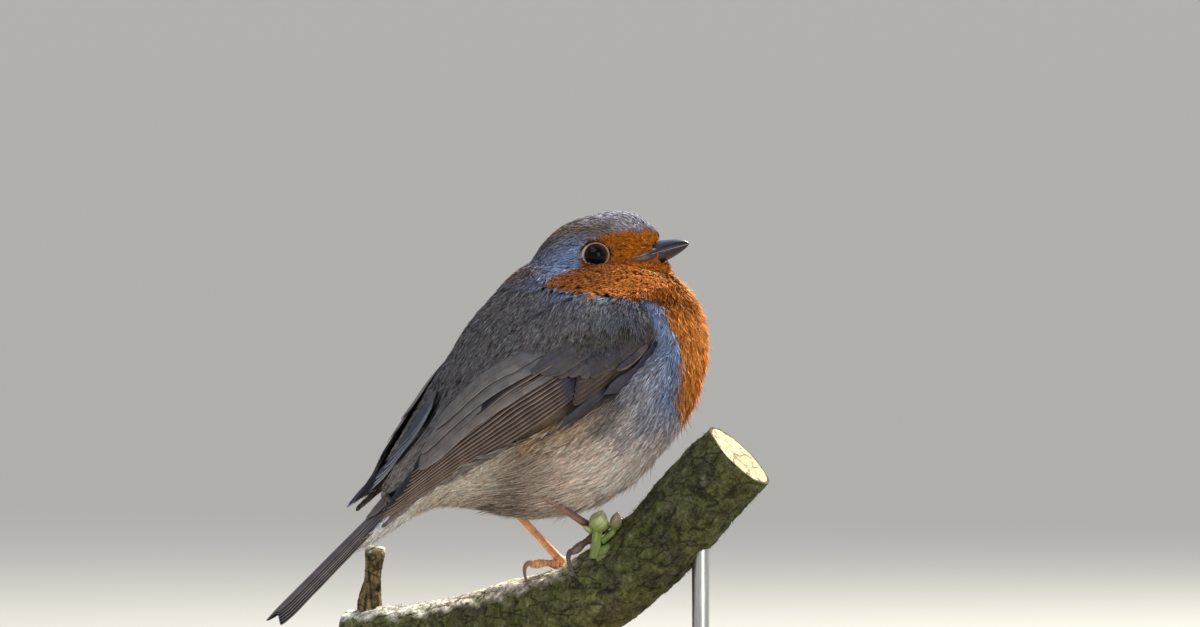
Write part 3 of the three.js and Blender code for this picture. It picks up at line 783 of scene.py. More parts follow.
@dataclass(frozen=True)
class Markings:
    """The colours of the plumage, place by place, in linear light."""

    orange: Colour = (0.45, 0.135, 0.012)
    cheek: Colour = (0.285, 0.087, 0.017)
    throat: Colour = (0.44, 0.14, 0.021)
    breast: Colour = (0.67, 0.26, 0.052)
    breast_edge: Colour = (0.66, 0.33, 0.15)
    # rim: painted rim light, the golden cream laid where the throat and breast turn edge-on to the view
    rim: Colour = (0.96, 0.64, 0.30)
    blue_grey: Colour = (0.24, 0.315, 0.53)
    crown: Colour = (0.160, 0.114, 0.090)
    # forehead: the grey-blue of the brow, and also the pale colour of the painted highlight on the crown's
    # top
    forehead: Colour = (0.42, 0.41, 0.50)
    nape: Colour = (0.135, 0.138, 0.195)
    mantle: Colour = (0.166, 0.152, 0.152)
    mantle_blue: Colour = (0.142, 0.163, 0.228)
    rump: Colour = (0.27, 0.225, 0.205)
    lesser: Colour = (0.095, 0.094, 0.118)
    shoulder: Colour = (0.100, 0.094, 0.086)
    side: Colour = (0.38, 0.385, 0.46)
    flank: Colour = (0.175, 0.16, 0.158)
    flank_buff: Colour = (0.46, 0.335, 0.215)
    belly: Colour = (0.88, 0.76, 0.69)
    belly_front: Colour = (0.86, 0.80, 0.88)
    vent: Colour = (1.0, 0.90, 0.77)
    undertail: Colour = (1.0, 0.98, 0.95)
    ring: Colour = (0.50, 0.38, 0.27)

    def back(self, site: Site) -> Array:
        """The upper parts: mantle, scapulars, rump and tail coverts.

        Args:
            site: The places.

        Returns:
            Linear colours.
        """
        x, _, z = site.points.T
        patch = Noise(9.0, 5)(site.points) * 0.5 + 0.5
        blue = ramp(z, 62.0, 78.0) * ramp(x, -22.0, 2.0) * np.clip(patch + 0.35, 0, 1)
        found = mixed(self.mantle, self.mantle_blue, blue)
        return mixed(found, self.rump, ramp(z, 52.0, 36.0))

    def underparts(self, site: Site) -> Array:
        """The lower parts: breast sides, flanks, belly, vent and lower tail coverts.

        Args:
            site: The places.

        Returns:
            Linear colours.
        """
        x, _, z = site.points.T
        wave = Noise(11.0, 8)(site.points)
        low = ramp(z + 2.5 * wave, 50.0, 37.0)
        found = mixed(self.flank, self.side, ramp(x + wave, -2.0, 8.0))
        found = mixed(found, self.belly, low * ramp(x, -26.0, -6.0))
        front = ramp(x, 10.0, 22.0) * ramp(z, 33.0, 42.0) * ramp(z, 60.0, 50.0)
        found = mixed(found, self.belly_front, front)
        buff = ramp(x + 2.0 * wave, 2.0, -12.0) * ramp(z, 56.0, 44.0) * (1.0 - 0.65 * low)
        found = mixed(found, self.flank_buff, buff)
        found = mixed(found, self.vent, ramp(x, -20.0, -31.0) * (1 - 0.3 * low))
        rear = x - 0.4 * site.points[:, 1] + 0.5 * wave
        return mixed(found, self.undertail, ramp(rear, -38.5, -42.0) * ramp(site.normals[:, 2], 0.85, 0.55))

    def head(self, site: Site) -> Array:
        """The grey and brown of the head round the orange: crown, ear coverts, nape and neck, with a painted
        highlight along the crown's top.

        Args:
            site: The places.

        Returns:
            Linear colours.
        """
        x, _, z = site.head.T
        found = mixed(self.crown, self.nape, ramp(z - 0.25 * x, 11.0, 6.0))
        found = mixed(found, self.blue_grey, ramp(z, 3.5, -2.5) * ramp(x, -10.0, -20.0))
        streaks = 0.75 + 0.5 * Noise(1.6, 12)(site.points * (1.0, 1.0, 2.0))
        brow = 0.7 * ramp(x, -14.0, -3.0) * ramp(z, 4.5, 7.5)
        # Painted highlight: pale streaks along the top of the crown, as if lit from above and behind.
        top = 0.85 * ramp(z, 9.6, 11.6) * ramp(x, -22.0, -12.0) * streaks
        return mixed(found, self.forehead, np.clip(brow + top, 0, 1))

    def colours(self, site: Site, fray: Array) -> Array:
        """The plumage's colour at each place.

        Args:
            site: The places.
            fray: How far in mm the edge of the orange is shifted at each, so that it looks frayed.

        Returns:
            Linear colours, one row a place.
        """
        x, _, z = site.points.T
        upper = ramp(z - 0.9 * x, 62.0, 70.0)
        over = site.above_wing | site.over_rump
        found = mixed(self.underparts(site), self.back(site), np.where(site.on_wing | (z < 60), over, upper))
        lesser = through(site.along, LESSER_EDGE)
        soft = site.on_wing & ~site.above_wing & (site.across > lesser - 0.16) & (site.along < 0.5)
        found = mixed(found, mixed(self.lesser, self.shoulder, ramp(site.across - lesser, 0.04, 0.16)), soft)
        found = mixed(found, self.head(site), ramp(z + 0.12 * x + fray, 74.5, 78.5))
        depth = Bib().depth(site) + fray
        band = ramp(depth, -9.0, -2.5) * ramp(z, 44.0, 52.0) * ramp(x, -16.0, -6.0) * ramp(z, 92.0, 86.0)
        found = mixed(found, self.blue_grey, 0.85 * band * ~site.on_wing)
        ahead, _, height = site.head.T
        orange = mixed(self.orange, self.cheek, ramp(ahead, -6.0, -14.0))
        orange = mixed(orange, self.throat, ramp(height, -2.0, -5.0))
        orange = mixed(orange, self.breast, ramp(z, 75.0, 68.0))
        orange = mixed(orange, self.breast_edge, ramp(z, 56.0, 46.0) * 0.7)
        # Painted rim light: golden cream along the front of the throat and breast where the surface turns
        # edge-on to the view.
        edge_on = site.normals @ np.array((0.375, 0.927, 0.0)) / 0.30
        front = np.exp(-(edge_on**2)) * (site.normals[:, 0] > 0.1)
        front = front * ramp(z, 58.0, 67.0) * ramp(ahead, -7.0, -4.0) * ramp(height, 0.5, -2.5)
        orange = mixed(orange, self.rim, (0.25 + 0.4 * ramp(z, 74.0, 79.0)) * front)
        found = mixed(found, orange, ramp(depth, -0.35, 0.35))
        # Painted shade in the crease under the cheek, where the head sits on the shoulder.
        crease_shade = np.exp(-(((z - 74.6 + 0.06 * (x - 12.0) + 0.5 * fray) / 0.75) ** 2)) * ramp(x, 4.0, 11.0)
        found = found * (1 - 0.6 * crease_shade * (1 - front))[:, None]
        behind = ramp(ahead + 0.6 * height, -10.5, -13.5)
        by_eye = ramp(eye_distance(site.points) + 0.3 * fray, 4.2, 3.7)
        return mixed(found, self.ring, by_eye * (0.25 + 0.6 * behind))


@dataclass(frozen=True)
class Lie:
    """The way that feathers lie: away from the bill over the head, down the breast, and back to the tail."""

    eye_radius: float = 3.3
    clear: float = 2.2  # mm over which the feathers part round an eye
    # Degrees that feathers point down at each height, and behind the thighs.
    steepness: tuple = ((22.0, 16.0), (34.0, 22.0), (50.0, 42.0), (66.0, 64.0), (80.0, 74.0))
    behind: float = 44.0
    thigh: float = -34.0

    def __call__(self, points: Array, normals: Array) -> Array:
        """The way at each place of a surface.

        Args:
            points: Places in mm of the bird's own frame.
            normals: The surface's normals there.

        Returns:
            Unit directions along the surface.
        """
        z = points[:, 2]
        down = np.radians(through(z, self.steepness))
        down = np.where(points[:, 0] < self.thigh, np.radians(self.behind), down)
        body = np.stack((-np.cos(down), 0.05 * np.sign(points[:, 1]), -np.sin(down)), 1)
        head = HEAD.into(points)
        spread = unit((head - np.array((3.0, 0.0, -0.5))) * np.array((1.0, 1.0, 0.8))) @ HEAD.axes.T
        share = ramp(head[:, 0], -31.0, -17.0) * ramp(z + 0.12 * points[:, 0], 70.0, 79.0)
        flow = flattened(mixed(body, spread, share), normals)
        for side in Side:
            away = points - EYE_CENTRES[side]
            reach = np.linalg.norm(away, axis=1)
            outwards = flattened(away, normals)
            near = np.exp(-(((reach - self.eye_radius) / self.clear) ** 2))
            inward = np.minimum((flow * outwards).sum(1), 0.0)
            parted = flow - outwards * (near * inward)[:, None] + outwards * (0.35 * near)[:, None]
            flow = flattened(parted, normals)
        return flow


def node_centre(node: str) -> Array:
    """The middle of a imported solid's box, in mm of the bird's own frame."""
    low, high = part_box(node)
    return unplaced(np.array((low + high) / 2))


EYE_CENTRES = {side: node_centre(f"eye_{side.value}") for side in Side}


def eye_distance(points: Array) -> Array:
    """How far each place lies from the middle of the nearer eye."""
    return np.min([np.linalg.norm(points - centre, axis=1) for centre in EYE_CENTRES.values()], axis=0)


@dataclass(frozen=True)
class Tract:
    """One field of plumage and the tufts that grow in it.

    Args:
        name: The coat piece's name.
        per_mm2: Tufts on each square mm.
        length: Of a tuft, in mm.
        width: Of a tuft across its middle, in mm.
        depth: How far below the outline its root lies.
        lift: How far its tip stands off the outline.
        clump: How much its tip draws together, 0 to 1.
        shade: How dark its root is against its tip.
        streak: How much its blades differ in tone.
        dark: The share of blades that are dark.
        fluff: How far in mm loose tips stand off, on average.
    """

    name: str
    per_mm2: float
    length: float
    width: float
    depth: float = 0.8
    lift: float = 0.15
    clump: float = 0.2
    shade: float = 0.55
    streak: float = 0.16
    dark: float = 0.0
    fluff: float = 0.0


FACE = Tract(
    "coat_face", 5.25, 2.2, 0.62, depth=0.45, lift=0.14, clump=0.0, shade=0.7, streak=0.26, fluff=0.05)
CROWN = Tract(
    "coat_crown", 4.0, 3.2, 0.72, depth=0.6, lift=0.14, clump=0.1, streak=0.36, dark=0.12, fluff=0.05)
THROAT = Tract(
    "coat_throat", 4.0, 4.4, 0.8, depth=0.7, lift=0.4, clump=0.25, shade=0.7, streak=0.26, fluff=0.35)
BREAST = Tract(
    "coat_breast", 2.5, 6.2, 1.05, depth=0.9, lift=0.3, clump=0.4, shade=0.7, streak=0.26, fluff=0.4)
SIDE = Tract(
    "coat_breast_sides", 2.3, 5.6, 0.9, depth=0.8, lift=0.25, clump=0.35, shade=0.65, streak=0.34,
    dark=0.14, fluff=0.1)
MANTLE = Tract(
    "coat_mantle", 3.0, 4.2, 0.8, depth=0.8, lift=0.12, clump=0.15, shade=0.5, streak=0.3, dark=0.14)
RUMP = Tract(
    "coat_rump", 2.2, 6.5, 0.9, depth=0.8, lift=0.14, clump=0.2, shade=0.75, streak=0.24, dark=0.05)
LESSER = Tract(
    "coat_lesser_coverts", 3.6, 3.0, 0.8, depth=0.5, lift=0.22, clump=0.1, shade=0.6, streak=0.28,
    dark=0.1)
FLANK = Tract(
    "coat_flanks", 1.9, 6.8, 1.05, depth=0.9, lift=0.15, clump=0.4, shade=0.62, streak=0.3, dark=0.16,
    fluff=0.2)
BELLY = Tract(
    "coat_belly", 2.0, 7.8, 1.0, depth=1.0, lift=-0.45, clump=0.4, shade=0.88, streak=0.18, dark=0.02,
    fluff=0.4)
VENT = Tract(
    "coat_vent", 2.3, 6.4, 0.9, depth=1.0, lift=0.4, clump=0.4, shade=0.97, streak=0.12, fluff=0.25)
TRACTS = (FACE, CROWN, THROAT, BREAST, SIDE, MANTLE, RUMP, LESSER, FLANK, BELLY, VENT)
BARE = -1


def tract_index(site: Site) -> Array:
    """Which field of plumage grows at each place.

    Args:
        site: The places.

    Returns:
        Indices into TRACTS, or BARE where the wings' vanes lie and on the bill and the eyes.
    """
    belly_top, vent_front, breast_side, mantle_end = 42.0, -22.0, 9.0, 54.0
    x, _, z = site.points.T
    hx, _, hz = site.head.T
    index = np.full(len(x), TRACTS.index(FLANK))
    index[(z < belly_top) & (x > vent_front)] = TRACTS.index(BELLY)
    index[(x < vent_front) & (z < belly_top + 2.0)] = TRACTS.index(VENT)
    inside = Bib().depth(site)
    index[(x > breast_side) & (z > belly_top)] = TRACTS.index(BREAST)
    index[(x > 1.0) & (z > belly_top) & (inside < -0.5)] = TRACTS.index(SIDE)
    back = site.above_wing | site.over_rump | (z - 0.9 * x > 66.0)
    index[back] = TRACTS.index(MANTLE)
    index[back & (x < Site.HIND) & (z < mantle_end)] = TRACTS.index(RUMP)
    wing = site.on_wing & ~site.above_wing
    soft = site.across > through(site.along, LESSER_EDGE)
    wing &= soft | (site.across > through(site.along, FLANK_EDGE))
    index[wing] = np.where(soft, TRACTS.index(LESSER), BARE)[wing]
    front = (z > 66.0) & (x > 4.0) & ~wing
    index[front & (z + 0.12 * x > 70.0)] = TRACTS.index(THROAT)
    index[site.is_head] = TRACTS.index(CROWN)
    index[site.is_head & (inside > -0.6)] = TRACTS.index(FACE)
    index[site.is_head & (hz < -6.5) & (hx > -16.0)] = TRACTS.index(THROAT)
    high, low = Bill().edges(hx)
    bill = (hx > -7.6) & (hz < high - 0.1) & (hz > 0.1 - low)
    eye = eye_distance(site.points) < Lie.eye_radius + 0.04
    index[bill | eye] = BARE
    return index


class Skin:
    """The bird's one closed skin, under the coat and the wings' vanes, with its unwrap."""

    NODES = ("head", "neck", "trunk")
    WINGS = tuple(f"wing_{side.value}_{part}" for side in Side
                  for part in ("coverts", "secondaries", "primaries"))
    VOXEL = 0.6
    UNDER = 1.7  # mm that the skin lies inside the outline, where the body is thick enough
    ON_FACE, BY_BILL = 1.1, 1.3  # how much less deep it lies on the face, and how much more round the bill
    BILL_REACH = 2.8
    SMOOTHING = 5

    def __init__(self) -> None:
        """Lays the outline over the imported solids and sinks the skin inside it."""
        self.outline = Form(outline_form(self.NODES + self.WINGS, "outline", self.VOXEL, self.SMOOTHING))
        self.piece = outline_form(self.NODES, "skin", self.VOXEL, self.SMOOTHING)
        bpy.data.objects.remove(bpy.data.objects["outline"])
        self.sink()
        self.unwrap()

    def sink(self) -> None:
        """Moves each point of the skin inwards, by less where the body is thin or the coat is short."""
        points, normals = vertex_places(self.piece.data), vertex_normals(self.piece.data)
        tree = self.outline.tree
        thickness = np.empty(len(points))
        for i, (point, normal) in enumerate(zip(points, normals)):
            hit = tree.ray_cast(Vector(point - 0.05 * normal), Vector(-normal))
            thickness[i] = hit[3] if hit[0] is not None else 50.0
        head = HEAD.into(points)
        under = self.UNDER - self.ON_FACE * ramp(head[:, 0], -26.0, -12.0) * ramp(head[:, 2], -14.0, -8.0)
        away = (head + 0.3) / self.BILL_REACH
        by_bill = np.exp(-(away[:, 0] ** 2) - away[:, 2] ** 2)
        depth = np.minimum(under + self.BY_BILL * by_bill, 0.4 * thickness)
        move_vertices(self.piece.data, points - normals * depth[:, None])
        apply_modifier(self.piece, "SMOOTH", factor=0.5, iterations=3)

    def unwrap(self) -> None:
        """Lays the skin's own shape out flat in the map that the coat's tufts take their places from."""
        mesh = self.piece.data
        mesh.uv_layers.new(name=UV_NAME)
        with editing(self.piece):
            bpy.ops.uv.smart_project(angle_limit=1.15, island_margin=0.004, scale_to_bounds=True)
        corners = read(mesh.uv_layers[UV_NAME].uv, "vector", 2, np.float32)
        self.face_places = corners[read(mesh.polygons, "loop_start").ravel()]
        self.tree = BVHTree.FromPolygons(
            [tuple(v) for v in vertex_places(mesh).tolist()], [tuple(p.vertices) for p in mesh.polygons])

    def map_places(self, points: Array) -> Array:
        """Places on the unwrap of the skin nearest to some points."""
        return self.face_places[[self.tree.find_nearest(point)[2] for point in points.tolist()]]

    def dress(self) -> None:
        """Paints the skin with the plumage's own markings, in shade, and finishes it."""
        site = Site(vertex_places(self.piece.data), vertex_normals(self.piece.data))
        paint(self.piece.data, Markings().colours(site, Noise(1.3, 3)(site.points) * 0.5) * 0.7)
        finish_piece(self.piece, "plumage", SkinFinish().build(), *self.NODES)


class Coat:
    """The small feathers, as tufts of thin blades that lie along the body."""

    BLADES = 7
    KNOTS = np.array((0.0, 0.35, 0.7, 1.0))
    OUTLINE = np.array((0.55, 1.0, 0.8, 0.0))  # a blade's width at each knot
    PATCH = 0.003  # of the unwrap that a tuft covers
    CORNERS = 7  # of a blade: two at each knot, and its tip
    OUTWARDS = np.array((0, 0, 0.4, 0.4, 0.8, 0.8, 1.0))  # how much of the tip's tone each corner has
    SPACING, BEND, ROLL = 0.16, 0.10, 0.5  # how much blades differ in place, in bend and in turn
    FRAY, DRIFT = 0.45, 0.35  # mm by which the markings' edges wander, tuft by tuft and in patches
    TONE, HUE, TIP = 0.13, 0.07, 1.12  # how much tufts differ in tone and blades in hue; a tip's tone

    def __init__(self, skin: Skin, seed: int = 11) -> None:
        """Scatters the tufts' roots and finds what grows at each.

        Args:
            skin: What the coat lies on.
            seed: Picks the chance.
        """
        self.skin = skin
        self.rng = np.random.default_rng(seed)
        self.lie = Lie()
        densest = max(tract.per_mm2 for tract in TRACTS)
        points, normals = skin.outline.scatter(densest, self.rng)
        chance = self.rng.random(len(points))
        site = Site(points, normals)
        index = tract_index(site)
        self.fields = {}
        for number, tract in enumerate(TRACTS):
            chosen = (index == number) & (chance < tract.per_mm2 / densest)
            halves = [chosen]
            if tract is MANTLE:
                halves = [chosen & (points[:, 1] * side.sign >= 0) for side in Side]
            for half, word in zip(halves, ("", "_right")):
                self.fields[replace(tract, name=tract.name + word)] = (points[half], normals[half])

    def paths(self, tract: Tract, points: Array, normals: Array) -> tuple[Array, Array, Array]:
        """Each tuft's line over the body, laid step by step along the lie of the plumage.

        Args:
            tract: What grows.
            points: The roots.
            normals: The normals there.

        Returns:
            For each tuft and knot, its place, its normal and its direction.
        """
        count = len(points)
        length = tract.length * self.rng.uniform(0.8, 1.15, count)
        stray = self.rng.normal(0, 0.10 if tract.length < 3 else 0.14, count)
        places, ups, flows = [points], [normals], [self.lie(points, normals)]
        for step in np.diff(self.KNOTS):
            side = np.cross(ups[-1], flows[-1])
            way = unit(flows[-1] + side * stray[:, None])
            place, up = self.skin.outline.nearest(places[-1] + way * (step * length)[:, None])
            places.append(place)
            ups.append(up)
            flows.append(self.lie(place, up))
        return np.stack(places, 1), np.stack(ups, 1), np.stack(flows, 1)

    def grow(self, tract: Tract) -> Piece | None:
        """Builds one field's coat as a single mesh.

        Args:
            tract: The field.

        Returns:
            The coat, or None where nothing grows.
        """
        points, normals = self.fields[tract]
        count, blades = len(points), self.BLADES
        if not count:
            return None
        places, ups, flows = self.paths(tract, points, normals)
        sides = np.cross(ups, flows)
        rng = self.rng
        spot = (np.arange(blades) + 0.5) / blades * 2 - 1  # across the tuft
        across = spot + rng.normal(0, self.SPACING, (count, blades))
        fan = np.array((0.45, 0.9, 1.0, 1.0 - tract.clump))
        reach = 1 - 0.22 * across**2 + rng.uniform(-0.14, 0.10, (count, blades))
        t = self.KNOTS * reach[..., None]
        run = np.clip(t / np.diff(self.KNOTS).mean(), 0, 2.999)
        low, share = run.astype(int), (run % 1)[..., None]
        tuft = np.arange(count)[:, None, None]
        past = np.maximum(t - 1, 0)[..., None] * tract.length

        def along(values: Array) -> Array:
            """The tuft's own values at the blades' knots."""
            return values[tuft, low] * (1 - share) + values[tuft, low + 1] * share

        centre, up, side = along(places), along(ups), along(sides)
        centre = centre + along(flows) * past
        curl = rng.normal(0, self.BEND, (count, blades, 1)) * tract.width * self.KNOTS**2
        offset = across[..., None] * fan * tract.width / 2 + curl
        height = -tract.depth * (1 - self.KNOTS) ** 2 + tract.lift * self.KNOTS**2
        height = height + rng.normal(0, self.BEND, (count, blades, 1)) * tract.depth * (0.4 + self.KNOTS)
        height = height + rng.exponential(1.0, (count, blades, 1)) * tract.fluff * self.KNOTS**2.5
        centre = centre + side * offset[..., None] + up * height[..., None]
        roll = rng.normal(0, self.ROLL, (count, blades, 1))[..., None]
        edge = unit(side * np.cos(roll) + up * np.sin(roll))
        half = tract.width / blades * rng.uniform(0.65, 1.05, (count, blades, 1)) * self.OUTLINE
        left, right = centre + edge * half[..., None], centre - edge * half[..., None]
        verts = np.concatenate((np.stack((left[:, :, :3], right[:, :, :3]), 3).reshape(count, blades, 6, 3),
                                centre[:, :, 3:]), 2).reshape(-1, 3)
        first = (np.arange(count * blades) * self.CORNERS)[:, None]
        quads = (first[..., None] + np.array(((0, 1, 3, 2), (2, 3, 5, 4)))).reshape(-1, 4)
        piece = array_mesh(tract.name, verts, (quads, first + np.array((4, 5, 6))))
        self.colour(piece, tract, places, ups, count)
        self.lay_out(piece, points)
        return piece

    def colour(self, piece: Piece, tract: Tract, places: Array, ups: Array, count: int) -> None:
        """Paints each blade with the markings where it shows, darker at its root.

        Args:
            piece: The coat.
            tract: Its field.
            places: The tufts' lines.
            ups: The normals along them.
            count: How many tufts there are.
        """
        rng = self.rng
        site = Site(places[:, 2], ups[:, 2])
        base = Markings().colours(
            site, rng.normal(0, self.FRAY, count) + Noise(2.2, 4)(site.points) * self.DRIFT)
        tone = rng.normal(0, self.TONE, (count, 1))
        tone = np.exp(tone + rng.normal(0, tract.streak, (count, self.BLADES)))
        tone = tone * np.where(rng.random(tone.shape) < tract.dark, 0.5, 1.0)
        fade = tract.shade + (self.TIP - tract.shade) * self.OUTWARDS
        hue = np.exp(rng.normal(0, self.HUE, (count, self.BLADES, 1, 1)) * np.array((-0.4, 1.0, 1.2)))
        colours = base[:, None, None, :] * tone[..., None, None] * fade[:, None] * hue
        paint(piece.data, colours.reshape(-1, 3))

    def lay_out(self, piece: Piece, roots: Array) -> None:
        """Gives each tuft a small patch of the skin's unwrap.

        Args:
            piece: The coat.
            roots: Where the tufts' roots lie.
        """
        places = self.skin.map_places(roots)
        across = np.repeat((np.arange(self.BLADES) + 0.5) / self.BLADES, self.CORNERS)
        across = across.reshape(self.BLADES, self.CORNERS)
        across = across + np.array((-0.4, 0.4, -0.4, 0.4, -0.4, 0.4, 0.0)) / self.BLADES
        along = np.tile(np.array((0.02, 0.02, 0.35, 0.35, 0.7, 0.7, 0.98)), (self.BLADES, 1))
        patch = (np.stack((across, along), -1) - 0.5) * self.PATCH
        found = np.clip(places[:, None, None, :], self.PATCH, 1 - self.PATCH) + patch
        lay_map(piece.data, UV_NAME, found.reshape(-1, 2))

    def build(self) -> None:
        """Grows and finishes every field."""
        material = CoatFinish().build()
        for tract in self.fields:
            piece = self.grow(tract)
            if piece is not None:
                finish_piece(piece, "plumage", material)


# ---------------------------------------------------------------- vanes of the wings and the tail


@dataclass(frozen=True)
class VaneLook:
    """The colours of a feather's vane, in linear light.

    Args:
        web: The part that shows below the shaft.
        deep: The part past the shaft, and the shade under the next feather.
        fringe: The pale edge.
        base: The colour at its base.
        fringe_width: Of the pale edge, in mm.
        tip_width: Of the pale edge round the tip.
        base_end: The share of the length at which the base's colour gives out.
        shade_at: How many mm from the edge the shade of the next feather starts; 0 for none.
    """

    web: Colour
    deep: Colour
    fringe: Colour
    base: Colour
    fringe_width: float = 0.2
    tip_width: float = 0.2
    base_end: float = 0.0
    shade_at: float = 0.0


REMEX = VaneLook(
    (0.068, 0.050, 0.045), (0.014, 0.012, 0.016), (0.31, 0.22, 0.165), (0.036, 0.037, 0.058), 0.2, 0.12,
    0.075, 0.5)
TERTIAL = VaneLook(
    (0.150, 0.128, 0.122), (0.130, 0.112, 0.108), (0.24, 0.21, 0.19), (0.11, 0.10, 0.105), 0.2, 0.25, 0.2)
GREATER = VaneLook(
    (0.062, 0.055, 0.060), (0.054, 0.049, 0.058), (0.105, 0.080, 0.064), (0.065, 0.06, 0.075), 0.3, 0.5)
PRIMARY_COVERT = VaneLook(
    (0.072, 0.054, 0.048), (0.048, 0.038, 0.038), (0.12, 0.085, 0.066), (0.06, 0.05, 0.05), 0.2, 0.2, 0.2,
    1.2)
SLATE = VaneLook(
    (0.060, 0.062, 0.090), (0.050, 0.052, 0.074), (0.28, 0.24, 0.15), (0.05, 0.048, 0.06), 0.14, 0.1)
ALULA = VaneLook(
    (0.085, 0.060, 0.056), (0.050, 0.044, 0.074), (0.16, 0.14, 0.13), (0.075, 0.06, 0.055), 0.12, 0.15)
COVERLET = VaneLook(
    (0.060, 0.054, 0.066), (0.045, 0.042, 0.058), (0.15, 0.115, 0.095), (0.09, 0.08, 0.072), 0.35, 0.3,
    0.3)
FAR_WING = VaneLook(
    (0.055, 0.058, 0.092), (0.042, 0.045, 0.074), (0.42, 0.42, 0.46), (0.075, 0.070, 0.082), 0.34, 0.35,
    0.25)
# A near-black vane that stands for the shadow in the gap beside the far wing: a painted shadow.
SHADOW_VANE = VaneLook(*((0.006, 0.005, 0.006),) * 4)
RECTRIX = VaneLook(
    (0.085, 0.064, 0.062), (0.022, 0.018, 0.027), (0.26, 0.21, 0.18), (0.07, 0.055, 0.055), 0.12, 0.2,
    0.0, 0.3)
MIDDLE_RECTRIX = VaneLook(
    (0.094, 0.074, 0.080), (0.060, 0.048, 0.056), (0.22, 0.18, 0.165), (0.07, 0.055, 0.055), 0.14)
TAIL_COVERT = VaneLook(
    (0.118, 0.098, 0.090), (0.100, 0.084, 0.078), (0.20, 0.17, 0.155), (0.10, 0.09, 0.085), 0.2, 0.5, 0.2)


@dataclass(frozen=True)
class Vane:
    """One feather that lies on a sheet.

    Args:
        edge: Its lower or outer edge as (along, across) places on the sheet, evenly spaced.
        shaft: How far in mm its shaft lies from that edge.
        breadth: Its whole breadth in mm.
        height: How far off the sheet it lies, at its base and at its tip.
        look: Its colours.
        tip: The share of its length over which its tip is rounded.
        edge_lift: How far its edge stands up off the feather below.
        flip: Whether its shown edge is the one with the greater measure across.
        point: How sharp its tip is; 1 for a round one.
    """

    edge: tuple
    shaft: float
    breadth: float
    height: tuple[float, float]
    look: VaneLook
    tip: float = 0.2
    edge_lift: float = 0.12
    flip: bool = False
    point: float = 0.8


